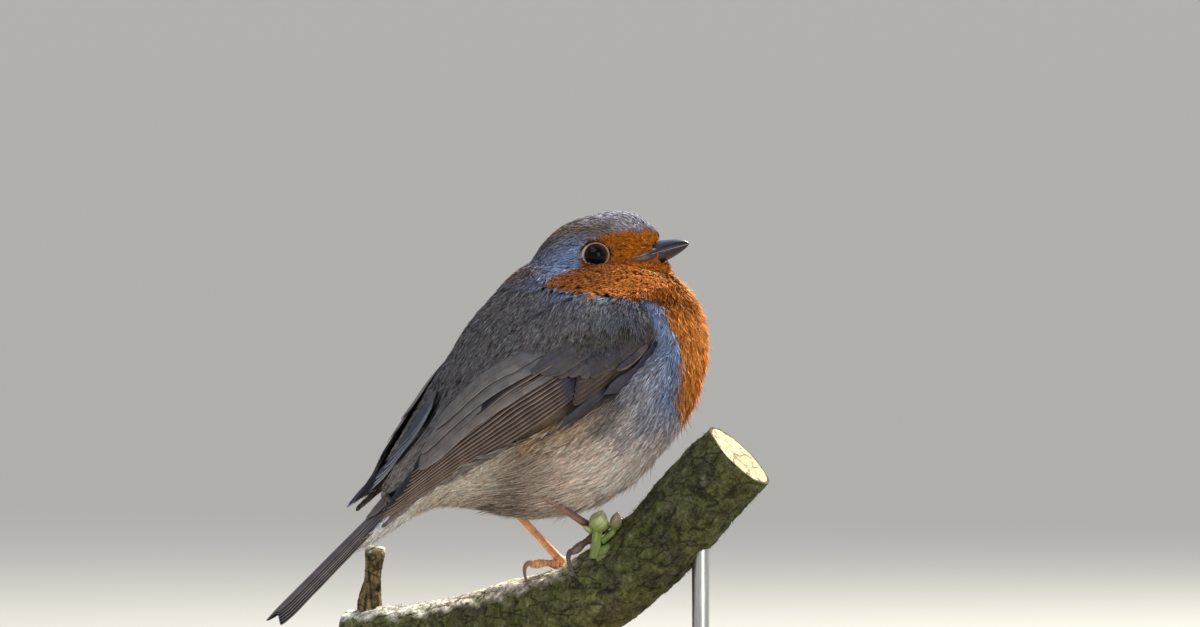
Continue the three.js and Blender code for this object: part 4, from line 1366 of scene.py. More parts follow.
class VaneSet:
    """Feathers laid on a sheet and joined into one piece, each a thin closed shell."""

    ROWS, TIP_ROWS = 18, 9
    COLUMNS = 12
    THICKNESS = 0.07
    ROOT_WIDTH = 0.55  # of a feather's full width
    RAGGED = 0.035  # mm by which the edge is uneven
    RIDGE, RIDGE_WIDTH = 0.05, 0.09  # of the shaft
    INNER_DROP, ROOT_DROP = 0.35, 0.22  # how far the hidden web and the root sink

    def __init__(self, name: str, sheet: object, seed: int) -> None:
        """Starts an empty set.

        Args:
            name: The piece's name.
            sheet: What the feathers lie on, with at() and axes().
            seed: Picks the chance.
        """
        self.name, self.sheet = name, sheet
        self.rng = np.random.default_rng(seed)
        self.points: list[Array] = []
        self.tints: list[Array] = []
        self.weaves: list[Array] = []

    def outline(self, vane: Vane) -> tuple[Array, Array]:
        """A vane's shape.

        Args:
            vane: The feather.

        Returns:
            Its rows from base to tip, and how wide it is at each against its full breadth.
        """
        full = 1 - vane.tip
        turn = np.linspace(0, math.pi / 2, self.TIP_ROWS + 1)[1:]
        rows = np.concatenate((np.linspace(0, full, self.ROWS), full + vane.tip * np.sin(turn)))
        width = np.concatenate((np.full(self.ROWS, 1.0), np.cos(turn) ** vane.point))
        width = width * (self.ROOT_WIDTH + (1 - self.ROOT_WIDTH) * ramp(rows, 0, 0.25))
        return rows, np.maximum(width, 0.03)

    def add(self, vane: Vane) -> None:
        """Lays one more feather.

        Args:
            vane: The feather.
        """
        sheet = self.sheet
        rows, width = self.outline(vane)
        edge = rail([(*knot, 0.0) for knot in vane.edge])(rows)
        along, low = edge[:, 0], edge[:, 1]
        step = 0.02
        scale = np.linalg.norm(sheet.at(along, low + step) - sheet.at(along, low - step), axis=1) / (2 * step)
        way = -1.0 if vane.flip else 1.0
        shaft = low + way * vane.shaft / scale
        spot = vane.shaft / vane.breadth
        share = np.unique(np.concatenate((np.linspace(0, 1, self.COLUMNS), (spot - 0.03, spot, spot + 0.03))))
        ragged = self.rng.normal(0, self.RAGGED, (len(rows), 1)) * (np.abs(share - 0.5) > 0.45)
        offset = (share * vane.breadth - vane.shaft)[None, :] * width[:, None] + ragged
        across = shaft[:, None] + way * offset / scale[:, None]
        spread = np.broadcast_to(along[:, None], across.shape)
        face = sheet.at(spread, across)
        _, _, up = sheet.axes(spread, across)
        inner = np.clip((share - spot) / (1 - spot), 0, 1)
        shape = vane.edge_lift * (1 - np.clip(share / spot, 0, 1)) ** 1.5 - self.INNER_DROP * inner**1.5
        ridge = self.RIDGE * np.exp(-(((share - spot) * vane.breadth / self.RIDGE_WIDTH) ** 2))
        base, end = vane.height
        profile = (shape + ridge)[None, :] * np.minimum(1, width[:, None] * 1.2)
        height = base + (end - base) * rows[:, None] + profile
        height = height - self.ROOT_DROP * ramp(rows[:, None], 0.06, 0.0)
        top = face + up * height[..., None]
        self.points.append(np.stack((top, top - up * self.THICKNESS)))
        length = np.concatenate(([0], np.cumsum(np.linalg.norm(np.diff(top[:, 0], axis=0), axis=1))))
        self.weaves.append(np.stack((np.broadcast_to(length[:, None], offset.shape), offset), -1))
        inset = share * vane.breadth * width[:, None]
        self.tints.append(self.colours(vane, rows, length, offset, inset))

    def colours(self, vane: Vane, rows: Array, length: Array, offset: Array, inset: Array) -> Array:
        """The vane's colour at each point of its grid.

        Args:
            vane: The feather.
            rows: The share of the length at each row.
            length: The length so far at each row, in mm.
            offset: Each point's distance past the shaft, in mm.
            inset: Each point's distance in from the shown edge, in mm.

        Returns:
            Linear colours.
        """
        look = vane.look
        shown = mixed(look.web, look.deep, ramp(offset, -0.05, 0.1) * 0.9)
        if look.shade_at:
            shown = mixed(shown, look.deep, ramp(inset, look.shade_at, look.shade_at + 0.35))
        to_tip = (length[-1] - length)[:, None] + 0 * offset
        shown = mixed(shown, look.fringe, ramp(inset, look.fringe_width * 1.5, look.fringe_width * 0.4) * 0.9)
        rim = np.maximum(0.0, 1 - np.abs(offset) / max(vane.breadth * 0.6, 0.1)) * look.tip_width * 1.2
        shown = mixed(shown, look.fringe, ramp(to_tip, look.tip_width + rim, 0.3 * look.tip_width) * 0.85)
        shown = mixed(shown, tuple(0.45 * c for c in look.deep), 0.7 * np.exp(-((offset / 0.10) ** 2)))
        if look.base_end:
            at_base = ramp(rows[:, None], look.base_end + 0.03, look.base_end - 0.02)
            shown = mixed(shown, look.base, at_base + 0 * offset)
        return shown * math.exp(self.rng.normal(0, 0.07))

    def build(self) -> Piece:
        """Joins the feathers into one mesh.

        Returns:
            The piece, with its colours and its map along and across each feather.
        """
        verts, faces, tints, weave = [], [], [], []
        start = 0
        for grid, tint, threads in zip(self.points, self.tints, self.weaves):
            _, rows, columns, _ = grid.shape
            count = rows * columns
            index = start + np.arange(2 * count).reshape(2, rows, columns)
            sheets = []
            for side, turned in ((0, False), (1, True)):
                i = index[side]
                quad = np.stack((i[:-1, :-1], i[1:, :-1], i[1:, 1:], i[:-1, 1:]), -1).reshape(-1, 4)
                sheets.append(quad[:, ::-1] if turned else quad)
            edges = index[:, 0, :], index[:, 1:, -1], index[:, -1, -2::-1], index[:, -2::-1, 0]
            rim = np.concatenate([edge.T for edge in edges])
            sheets.append(np.stack((rim[:-1, 0], rim[:-1, 1], rim[1:, 1], rim[1:, 0]), -1)[:, ::-1])
            faces.append(np.concatenate(sheets))
            verts.append(grid.reshape(-1, 3))
            # Each vane's lower face is painted darker, as painted shade.
            tints.append(np.concatenate((tint.reshape(-1, 3), tint.reshape(-1, 3) * 0.6)))
            weave.append(np.concatenate((threads.reshape(-1, 2),) * 2))
            start += 2 * count
        piece = faced_out(array_mesh(self.name, np.concatenate(verts), (np.concatenate(faces),)))
        paint(piece.data, np.concatenate(tints))
        lay_map(piece.data, WEAVE, np.concatenate(weave))
        return piece


@dataclass
class Wing:
    """A folded wing, feather by feather."""

    side: Side
    # Where each flight feather's shown edge lies across the wing, for the lowest one and for each above it.
    lowest_edge: tuple = (
        (0.30, 0.150), (0.40, 0.135), (0.50, 0.110), (0.60, 0.085), (0.70, 0.085), (0.80, 0.11),
        (0.90, 0.15), (0.96, 0.24), (1.0, 0.34))
    edge_step: tuple = (
        (0.30, 0.041), (0.50, 0.044), (0.70, 0.040), (0.80, 0.038), (0.90, 0.042), (1.0, 0.05))
    greater_edge: tuple = (
        (0.0, 0.12), (0.06, 0.18), (0.146, 0.205), (0.21, 0.215), (0.27, 0.25), (0.32, 0.36),
        (0.36, 0.42))
    slate_edge: tuple = ((0.20, -0.01), (0.27, -0.03), (0.34, -0.055), (0.41, -0.065), (0.482, -0.03))
    alula_edge: tuple = ((0.0, -0.06), (0.06, -0.145), (0.12, -0.125), (0.18, -0.035), (0.240, 0.045))
    coverlet_edge: tuple = ((0.035, 0.115), (0.07, 0.118), (0.105, 0.128), (0.14, 0.15), (0.172, 0.175))
    primary_tips: tuple = (0.975, 0.995, 1.0, 0.985, 0.955, 0.915)
    secondary_tips: tuple = (0.875, 0.86, 0.848, 0.84, 0.832)
    # The shown edge, breadth, height and tip of each tertial, from the lowest.
    tertials: tuple = (
        (((0.30, 0.44), (0.40, 0.46), (0.50, 0.45), (0.60, 0.435), (0.70, 0.38), (0.80, 0.38)), 6.6,
         (-0.35, 1.65), 0.16),
        (((0.32, 0.56), (0.435, 0.60), (0.55, 0.61), (0.665, 0.595), (0.785, 0.58)), 5.0, (-0.25, 1.7), 0.18),
        (((0.34, 0.66), (0.435, 0.69), (0.53, 0.72), (0.625, 0.705), (0.72, 0.71)), 4.8, (-0.15, 1.6), 0.2))

    @property
    def plan(self) -> WingPlan:
        """The face that the feathers lie on."""
        return WingPlan(self.side)

    def flight_feather(self, rank: int, start: float, end: float) -> Vane:
        """A primary or secondary.

        Args:
            rank: Its place, counted from the lowest.
            start: Where along the wing it starts.
            end: Where it ends.

        Returns:
            The feather.
        """
        along = np.linspace(start, end, 9)
        across = through(along, self.lowest_edge) + rank * through(along, self.edge_step)
        height = -1.35 + 0.125 * rank
        return Vane(tuple(zip(along, across)), 0.85, 4.6 if rank < 6 else 4.2,
                    (height, height + 2.1 * (end - 0.3) / 0.7), REMEX, tip=0.10, edge_lift=0.22)

    def primaries(self) -> VaneSet:
        """The primaries, with the small slate outermost one below them.

        Returns:
            The set.
        """
        made = VaneSet(f"wing_{self.side.value}_primary_vanes", self.plan, 31)
        made.add(Vane(self.slate_edge, 0.9, 2.6, (-1.1, -0.2), SLATE, tip=0.5, edge_lift=0.1, point=1.8))
        for rank, end in enumerate(self.primary_tips):
            made.add(self.flight_feather(rank, 0.30, end))
        return made

    def secondaries(self) -> VaneSet:
        """The secondaries and the three tertials that lie on top.

        Returns:
            The set.
        """
        made = VaneSet(f"wing_{self.side.value}_secondary_vanes", self.plan, 32)
        first = len(self.primary_tips)
        for rank, end in enumerate(self.secondary_tips):
            made.add(self.flight_feather(first + rank, 0.30, end))
        for edge, breadth, height, tip in self.tertials:
            made.add(Vane(edge, 2.0, breadth, height, TERTIAL, tip=tip, edge_lift=0.18))
        return made

    def coverts(self) -> VaneSet:
        """The primary coverts, greater coverts and alula.

        Returns:
            The set.
        """
        made = VaneSet(f"wing_{self.side.value}_covert_vanes", self.plan, 33)
        steps = np.array((0.0, 0.33, 0.67, 1.0))
        for i in range(5):
            s, a = 0.34 - 0.010 * i, 0.115 + 0.052 * i
            edge = tuple(zip(s - 0.23 * (1 - steps), a - 0.05 + 0.05 * (1 - steps)))
            made.add(Vane(edge, 0.9, 3.0, (-0.7 + 0.07 * i, -0.95 + 0.12 * i), PRIMARY_COVERT, tip=0.12,
                          edge_lift=0.08))
        for i, s in enumerate(np.linspace(0.35, 0.045, 11)):
            a = float(through(s, self.greater_edge))
            edge = tuple(zip(np.maximum(0.0, s - 0.16 * (1 - steps)), a + 0.05 * (1 - steps)))
            made.add(Vane(edge, 1.3, 3.6, (-0.7 + 0.02 * i, 0.05 + 0.025 * i), GREATER, tip=0.22,
                          edge_lift=0.09))
        for i in range(3):
            s, a = 0.365 + 0.02 * i, 0.49 + 0.05 * i
            edge = tuple(zip(s - 0.19 * (1 - steps), a - 0.04 + 0.03 * (1 - steps)))
            made.add(Vane(edge, 1.6, 3.8, (-0.5, 0.25), GREATER, tip=0.22, edge_lift=0.15))
        made.add(Vane(self.alula_edge, 0.6, 4.8, (0.75, 0.85), ALULA, tip=0.5, point=1.7))
        made.add(Vane(self.coverlet_edge, 0.6, 1.8, (0.75, 0.95), COVERLET, tip=0.4, edge_lift=0.08,
                      point=1.2))
        return made

    def core(self) -> Piece:
        """The dark flesh and feather bases under the vanes, as a thin closed slab.

        Returns:
            The slab.
        """
        along, across = np.meshgrid(np.linspace(0.0, 0.70, 30), np.linspace(0.10, 1.0, 14), indexing="ij")
        _, _, up = self.plan.axes(along, across)
        deep = -1.75 - 0.5 * ramp(across, 0.35, 0.10) - 0.4 * ramp(along, 0.08, 0.0)
        top = self.plan.at(along, across) + up * deep[..., None]
        made = VaneSet(f"wing_{self.side.value}_core", self.plan, 34)
        made.points.append(np.stack((top, top - up * 0.8)))
        pale = ramp(across, 0.55, 0.7) * ramp(along, 0.6, 0.4)
        made.tints.append(mixed((0.03, 0.028, 0.03), (0.06, 0.058, 0.06), pale))
        made.weaves.append(np.stack((along * 70, across * 20), -1))
        return made.build()

    def build(self) -> None:
        """Builds and finishes the whole wing."""
        material = VaneFinish().build()
        coverts = self.coverts().build()
        core = self.core()
        activate(coverts)
        core.select_set(True)
        bpy.ops.object.join()
        side = self.side.value
        finish_piece(coverts, "flight_feathers", material, f"wing_{side}_coverts")
        finish_piece(self.secondaries().build(), "flight_feathers", material, f"wing_{side}_secondaries")
        finish_piece(self.primaries().build(), "flight_feathers", material, f"wing_{side}_primaries")


@dataclass(frozen=True)
class FarFold:
    """The left wing's inner feathers, which lie over the left of the rump, with a near-black vane beside them
    as a painted shadow in the gap.
    """

    # The outer and inner edges of the face that they lie on, in mirror image.
    outer: tuple = (
        (-32.9, -6.4, 53.6), (-34.9, -6.4, 50.8), (-36.8, -6.5, 48.0), (-39.7, -6.8, 43.0),
        (-42.2, -7.6, 39.5), (-45.6, -8.0, 35.4), (-51.9, -8.6, 26.9))
    inner: tuple = (
        (-33.1, 1.0, 54.0), (-34.8, 1.2, 50.5), (-37.0, 1.0, 46.6), (-39.5, 0.6, 43.0),
        (-42.5, -0.6, 38.9), (-45.0, -3.6, 33.9), (-51.4, -7.6, 26.2))
    shadow_vane_edge: tuple = ((0.0, 1.12), (0.2, 1.16), (0.4, 1.16), (0.58, 1.14), (0.8, 1.0))
    # Where each feather starts and ends along the face, how far across it reaches and its height.
    feathers: tuple = (
        (0.25, 1.0, 0.93, 0.45), (0.22, 0.93, 0.96, 0.6), (0.18, 0.86, 0.98, 0.75), (0.1, 0.78, 1.0, 0.9),
        (0.0, 0.70, 1.0, 1.05), (-0.02, 0.60, 0.97, 1.2))

    @property
    def plan(self) -> WingPlan:
        """The face, from its upper end to the wing's tip."""
        middle = tuple(map(tuple, (np.array(self.outer) + np.array(self.inner)) / 2))
        return WingPlan(Side.LEFT, self.outer, middle, self.inner, 0.0)

    def build(self) -> None:
        """Builds and finishes the feathers."""
        made = VaneSet("wing_left_inner_vanes", self.plan, 35)
        made.add(Vane(self.shadow_vane_edge, 1.0, 5.0, (0.2, 0.2), SHADOW_VANE, tip=0.3, edge_lift=0.0, flip=True))
        for start, end, reach, height in self.feathers:
            edge = tuple((start + (end - start) * t, reach - 0.30 * max(0.0, t - 0.6)) for t in QUARTERS)
            made.add(Vane(edge, 2.2, 5.2, (height - 0.2, height), FAR_WING, tip=0.42, edge_lift=0.1,
                          flip=True, point=1.4))
        finish_piece(made.build(), "flight_feathers", VaneFinish().build())


@dataclass(frozen=True)
class TailPlan:
    """The closed tail's upper face: along runs 0..1 from root to tip, across in mm to the bird's left."""

    root: tuple = (-37.7, 0.0, 36.8)
    tip: tuple = (-74.6, 0.0, 2.8)
    roll: float = 8.0  # degrees that the right edge is rolled down
    camber: float = 0.055  # how fast the face falls away at its sides, per mm

    @property
    def frame(self) -> tuple[Array, Array, Array]:
        """The tail's own directions.

        Returns:
            Unit directions back along the tail, to its left and up out of it.
        """
        back = Vector(self.tip) - Vector(self.root)
        back.normalize()
        turn = Matrix.Rotation(math.radians(-self.roll), 3, back)
        left, up = turn @ Vector((0, 1, 0)), turn @ Vector((back.z, 0, -back.x))
        return np.array(back), np.array(left), np.array(up)

    @property
    def length(self) -> float:
        """From root to tip in mm."""
        return (Vector(self.tip) - Vector(self.root)).length

    def at(self, along: Array, across: Array) -> Array:
        """Points of the face.

        Args:
            along: 0 at the root to 1 at the tip.
            across: In mm to the left.

        Returns:
            The points in mm.
        """
        back, left, up = self.frame
        along, across = (np.asarray(v, float)[..., None] for v in np.broadcast_arrays(along, across))
        bow = 0.15 * np.sin(np.clip(along, 0, 1.2) * 2.6) - self.camber * 0.5 * across**2
        return np.array(self.root) + back * along * self.length + left * across + up * bow

    def axes(self, along: Array, across: Array) -> tuple[Array, Array, Array]:
        """The face's own directions at places on it.

        Args:
            along: From the root to the tip.
            across: In mm to the left.

        Returns:
            Unit directions to the tip, to the left and out of the face.
        """
        back, left, up = self.frame
        slope = self.camber * np.asarray(across, float)[..., None]
        outwards = unit(up + left * slope)
        return np.broadcast_to(back, outwards.shape), np.broadcast_to(left, outwards.shape), outwards


@dataclass
class Tail:
    """Twelve tail feathers, the middle pair on top."""

    pairs: int = 6
    root_width: float = 9.6
    end_width: float = 12.6
    overlap: float = 4.5  # mm of breadth that stays under the neighbours

    def build(self) -> None:
        """Builds and finishes the tail."""
        plan = TailPlan()
        made = VaneSet("tail_vanes", plan, 41)
        for place in range(self.pairs - 1, -1, -1):
            rank = (2 * place + 1) / (2 * self.pairs - 1)
            reach = 1 - 0.05 * (1 - rank)
            for sign in (-1.0, 1.0):
                edge = []
                for t in QUARTERS:
                    span = (self.root_width + (self.end_width - self.root_width) * t - self.overlap) / 2
                    half = 1.9 + 1.2 * math.sin(min(1.0, 1.3 * t) * math.pi / 2)
                    edge.append((0.06 + (reach - 0.06) * t, sign * (rank * span + 0.40 * half)))
                low = -0.05 - 0.17 * place - (0.07 if sign > 0 else 0.0)
                shaft, look = (1.25, RECTRIX) if place else (2.2, MIDDLE_RECTRIX)
                made.add(Vane(tuple(edge), shaft, 4.6, (low, low), look, tip=0.11, edge_lift=0.08,
                              flip=sign > 0,
                              point=1.1))
        for place, middle in enumerate((-3.3, 3.3, -2.0, 2.0, -0.6, 0.8)):
            sign = 1.0 if middle > 0 else -1.0
            reach = 0.24 + 0.022 * place
            edge = tuple((-0.16 + (reach + 0.16) * t, middle + sign * 1.3) for t in QUARTERS)
            made.add(Vane(edge, 1.3, 3.2, (0.9 + 0.06 * place, 0.15 + 0.05 * place), TAIL_COVERT, tip=0.3,
                          edge_lift=0.05, flip=sign > 0))
        finish_piece(made.build(), "flight_feathers", VaneFinish().build(), "tail")


@dataclass(frozen=True)
class VaneFinish:
    """Smooth vanes: the painted colours under fine slanting barbs."""

    roughness: float = 0.5
    barbs_per_mm: float = 3.4
    slant: float = 0.9  # mm along the feather for each mm out from its shaft

    def build(self) -> Material:
        """Makes the material.

        Returns:
            The material.
        """
        recipe = Recipe("vane", Roughness=self.roughness, Specular_IOR_Level=0.18)
        weave = recipe.add("UVMap", uv_map=WEAVE).outputs[0]
        parts = recipe.add("SeparateXYZ", weave)
        out = recipe.maths("ABSOLUTE", parts.outputs[1])
        line = recipe.maths("SUBTRACT", parts.outputs[0], recipe.maths("MULTIPLY", out, self.slant))
        drift = recipe.noise(weave, 0.9, 2.0)
        wave = recipe.maths("SINE", recipe.total((line, 2 * math.pi * self.barbs_per_mm), (drift, 9.0)))
        barb = recipe.ramp(wave, -1.0, 1.0)
        patch = recipe.ramp(recipe.noise(weave, 0.35, 3.0), 0.3, 0.7, 0.8, 1.2)
        shade = recipe.maths("MULTIPLY", recipe.ramp(barb, 0.0, 1.0, 0.82, 1.12), patch)
        recipe.bump(barb, 0.25, 0.00006)
        return recipe.finish(recipe.shaded(shade))


# ---------------------------------------------------------------- round stock


class Curve:
    """A smooth curve through points of any number of measures, followed by its own length."""

    STEPS = 48

    def __init__(self, points: Sequence[Sequence[float]]) -> None:
        """Lays the curve and measures it.

        Args:
            points: The points that it passes through.
        """
        knots = np.array(points, float)
        x = np.vstack((2 * knots[0] - knots[1], knots, 2 * knots[-1] - knots[-2]))
        w = np.linspace(0, 1, self.STEPS, endpoint=False)[:, None]
        runs = []
        for a, b, c, d in zip(x, x[1:], x[2:], x[3:]):
            p, q, r = (math.sqrt(float(np.linalg.norm(v))) for v in (b - a, c - b, d - c))
            m = ((b - a) / p - (c - a) / (p + q) + (c - b) / q) * q
            n = ((c - b) / q - (d - b) / (q + r) + (d - c) / r) * q
            runs.append(b + m * w + (-3 * b + 3 * c - 2 * m - n) * w**2 + (2 * b - 2 * c + m + n) * w**3)
        self.places = np.vstack((*runs, knots[-1:]))
        self.reach = np.concatenate(([0], np.cumsum(np.linalg.norm(np.diff(self.places, axis=0), axis=1))))
        self.length = float(self.reach[-1])

    def at(self, t: Array) -> Array:
        """Places at shares t of the length."""
        run = np.asarray(t, float) * self.length
        return np.stack([np.interp(run, self.reach, column) for column in self.places.T], -1)

    def heading(self, t: Array) -> Array:
        """Unit directions along the curve at shares t of the length."""
        t = np.asarray(t, float)
        return unit(self.at(np.minimum(t + 1e-3, 1)) - self.at(np.maximum(t - 1e-3, 0)))


def spread(values: Sequence[float]) -> Callable[[Array], Array]:
    """A smooth function of 0..1 through evenly spaced values."""
    curve = rail([(i, v, 0) for i, v in enumerate(values)])
    return lambda t: curve(t)[..., 1]


class Stock:
    """A round bar, cut across and inset at its ends, that is then drawn to a shape and painted.

    Each point knows its share t of the bar's length, its angle round it from the upper side, and its
    reach, which is 1 on the side and falls to 0 at the middle of an end.
    """

    blanks: dict[tuple, Mesh] = {}

    def __init__(self, name: str, cuts: tuple[int, ...], sides: int, insets: int = 1) -> None:
        """Takes a bar.

        Args:
            name: The piece's name.
            cuts: How many times it is cut across, and then each length again.
            sides: How many sides it has.
            insets: How many rings each end has.
        """
        key = (cuts, sides, insets)
        if key not in self.blanks:
            self.blanks[key] = self.turned(cuts, sides, insets)
        mesh = self.blanks[key].copy()
        mesh.name = name
        self.piece = linked(name, mesh)
        x, y, z = blank_places(mesh)
        self.t, self.angle, self.reach = np.clip(z, 0, 1), np.arctan2(y, x), np.minimum(1, np.hypot(x, y))
        self.count = math.prod(cut + 1 for cut in cuts)

    @staticmethod
    def turned(cuts: tuple[int, ...], sides: int, insets: int) -> Mesh:
        """Models a blank bar, one metre long and one in radius.

        Args:
            cuts: How many times it is cut across, and then each length again.
            sides: How many sides it has.
            insets: How many rings each end has.

        Returns:
            Its mesh.
        """
        bar = primitive("bar", bpy.ops.mesh.primitive_cylinder_add, vertices=sides, radius=1.0, depth=1.0,
                        location=(0, 0, 0.5))
        mesh = bar.data

        def lengthwise(edge: bpy.types.MeshEdge) -> bool:
            """Whether an edge runs along the bar."""
            low, high = (mesh.vertices[i].co.z for i in edge.vertices)
            return abs(high - low) > TOLERANCE

        for cut in cuts:
            pick(mesh, "EDGE", lengthwise)
            bpy.ops.mesh.subdivide(number_cuts=cut)
        pick(mesh, "FACE", lambda face: abs(face.normal.z) > 0.5)
        for _ in range(insets):
            bpy.ops.mesh.inset(thickness=0.96 / (insets + 0.5), use_even_offset=False)
        bpy.ops.mesh.poke()
        bpy.ops.object.mode_set(mode="OBJECT")
        bpy.ops.object.shade_smooth()
        bpy.data.objects.remove(bar)
        return mesh

    def draw(self, curve: Curve, radius: Callable[[Array], Array],
             relief: Callable[[Array, Array], Array] | None = None, flat: float = 1.0) -> "Stock":
        """Draws the bar along a curve, with rounded ends.

        Args:
            curve: The centre line.
            radius: The radius in mm at each share of the length.
            relief: Extra radius at each share of the length and angle from the upper side, or None.
            flat: How thick the bar is against its breadth.

        Returns:
            Itself.
        """
        t, angle = self.t, self.angle
        heading = curve.heading(t)
        side = unit(np.cross(UP, heading) + 1e-6)
        over = np.cross(heading, side)
        end = np.minimum(1, np.minimum(t, 1 - t) * self.count / 3.5)
        cap = np.sqrt(np.clip(1 - (1 - end) ** 2, 0.05, 1))
        reach = (radius(t) + (relief(t, angle) if relief else 0.0)) * cap * self.reach
        return self.place(curve.at(t) + over * (reach * np.cos(angle) * flat)[:, None]
                          + side * (reach * np.sin(angle))[:, None])

    def place(self, points: Array) -> "Stock":
        """Puts its points in their places, in mm."""
        move_vertices(self.piece.data, points)
        return self

    def paint(self, colours: Array) -> "Stock":
        """Paints it, point by point or all over."""
        paint(self.piece.data, np.broadcast_to(colours, (len(self.t), 3)))
        return self


def joined(name: str, parts: Sequence[Stock]) -> Piece:
    """Joins closed solids as one piece.

    Args:
        name: The piece's name.
        parts: The solids.

    Returns:
        The piece, with its faces pointing out.
    """
    piece = activate(parts[0].piece)
    for part in parts:
        part.piece.select_set(True)
    bpy.ops.object.join()
    piece.name = piece.data.name = name
    return faced_out(piece)


# ---------------------------------------------------------------- bill and eyes


@dataclass(frozen=True)
class Bill:
    """The closed bill: two tapering halves that meet along the mouth and run back to the fleshy gape."""

    # Distance ahead of the forehead's feathers, depth above and below the mouth, and half breadth.
    sections: tuple = (
        (-8.2, 0.10, 0.22, 8.15), (-6.0, 0.30, 0.70, 7.0), (-4.4, 0.55, 1.10, 6.0),
        (-3.0, 0.95, 1.5, 4.95), (-1.5, 1.9, 2.1, 3.85), (0.0, 2.5, 2.55, 2.75), (2.6, 2.25, 2.15, 1.95),
        (5.0, 1.7, 1.4, 1.3), (6.7, 0.98, 0.65, 0.62), (7.45, 0.26, 0.15, 0.16))
    # slate: painted sky reflection, the blue along the top of the upper mandible
    slate: Colour = (0.050, 0.075, 0.15)
    horn: Colour = (0.016, 0.011, 0.016)
    mauve: Colour = (0.045, 0.026, 0.036)
    gape: Colour = (0.15, 0.10, 0.105)

    def edges(self, ahead: Array) -> tuple[Array, Array]:
        """How far above and below the mouth the bare horn shows at places along the bill."""
        place, high, low, _ = zip(*self.sections)
        return np.interp(ahead, place, high), np.interp(ahead, place, low)

    def half(self, upper: bool) -> Stock:
        """One mandible.

        Args:
            upper: Whether it is the upper one.

        Returns:
            The solid.
        """
        stock = Stock("mandible", (15, 7), 48)
        ahead, high, low, wide = Curve(self.sections).at(stock.t).T
        depth = high if upper else low
        sign = 1.0 if upper else -1.0
        rise = np.clip(np.sin(stock.angle), 0, 1)
        over = np.cos(stock.angle)
        boxy = 0.22 + 0.83 * ramp(ahead, -4.2, 0.6)
        y = wide * np.sign(over) * np.abs(over) ** boxy
        lip = 0.05 - 0.012 * ahead + 0.06 * ramp(ahead, 6.3, 7.4)
        z = rise**1.1 * depth
        point = np.stack((ahead, y * stock.reach, sign * (z * stock.reach + 0.045) + lip), 1)
        # Painted sky reflection: blue along the upward-facing top of the upper mandible.
        tint = mixed(self.horn, self.slate, ramp(rise, 0.55, 0.98) * ramp(ahead, -1.5, 1.0) * upper)
        base = ramp(ahead, 4.5, -1.0) * ramp(rise, 1.0, 0.2)
        tint = mixed(tint, self.mauve, (0.5 if upper else 0.9) * base)
        tint = mixed(tint, self.gape, ramp(ahead, -1.6, -3.6))
        # Painted shade along the mouth, where the two halves meet.
        tint = mixed(tint, (0.010, 0.008, 0.010), ramp(rise, 0.16, 0.0) * 0.9)
        if upper:
            flank = np.abs(over) > 0.15
            hole = np.exp(-(((ahead + 0.35) / 0.8) ** 2 + ((z - 1.25 + 0.1 * ahead) / 0.27) ** 2)) * flank
            hood = np.exp(-(((ahead + 0.2) / 1.0) ** 2 + ((z - 1.72 + 0.1 * ahead) / 0.22) ** 2)) * flank
            point[:, 1] -= np.sign(y) * (0.30 * hole - 0.15 * hood)
            # The nostril's dent is painted near black as painted shade inside it.
            tint = mixed(tint, (0.008, 0.006, 0.008), np.clip(1.2 * hole, 0, 1))
        return stock.place(HEAD.out_of(point)).paint(tint)

    def build(self) -> None:
        """Builds and finishes both halves."""
        material = HornFinish("bill_horn", 0.30, 0.3).build()
        for name, upper in (("bill_upper", True), ("bill_lower", False)):
            finish_piece(joined(f"{name}_horn", [self.half(upper)]), "horn", material, name)


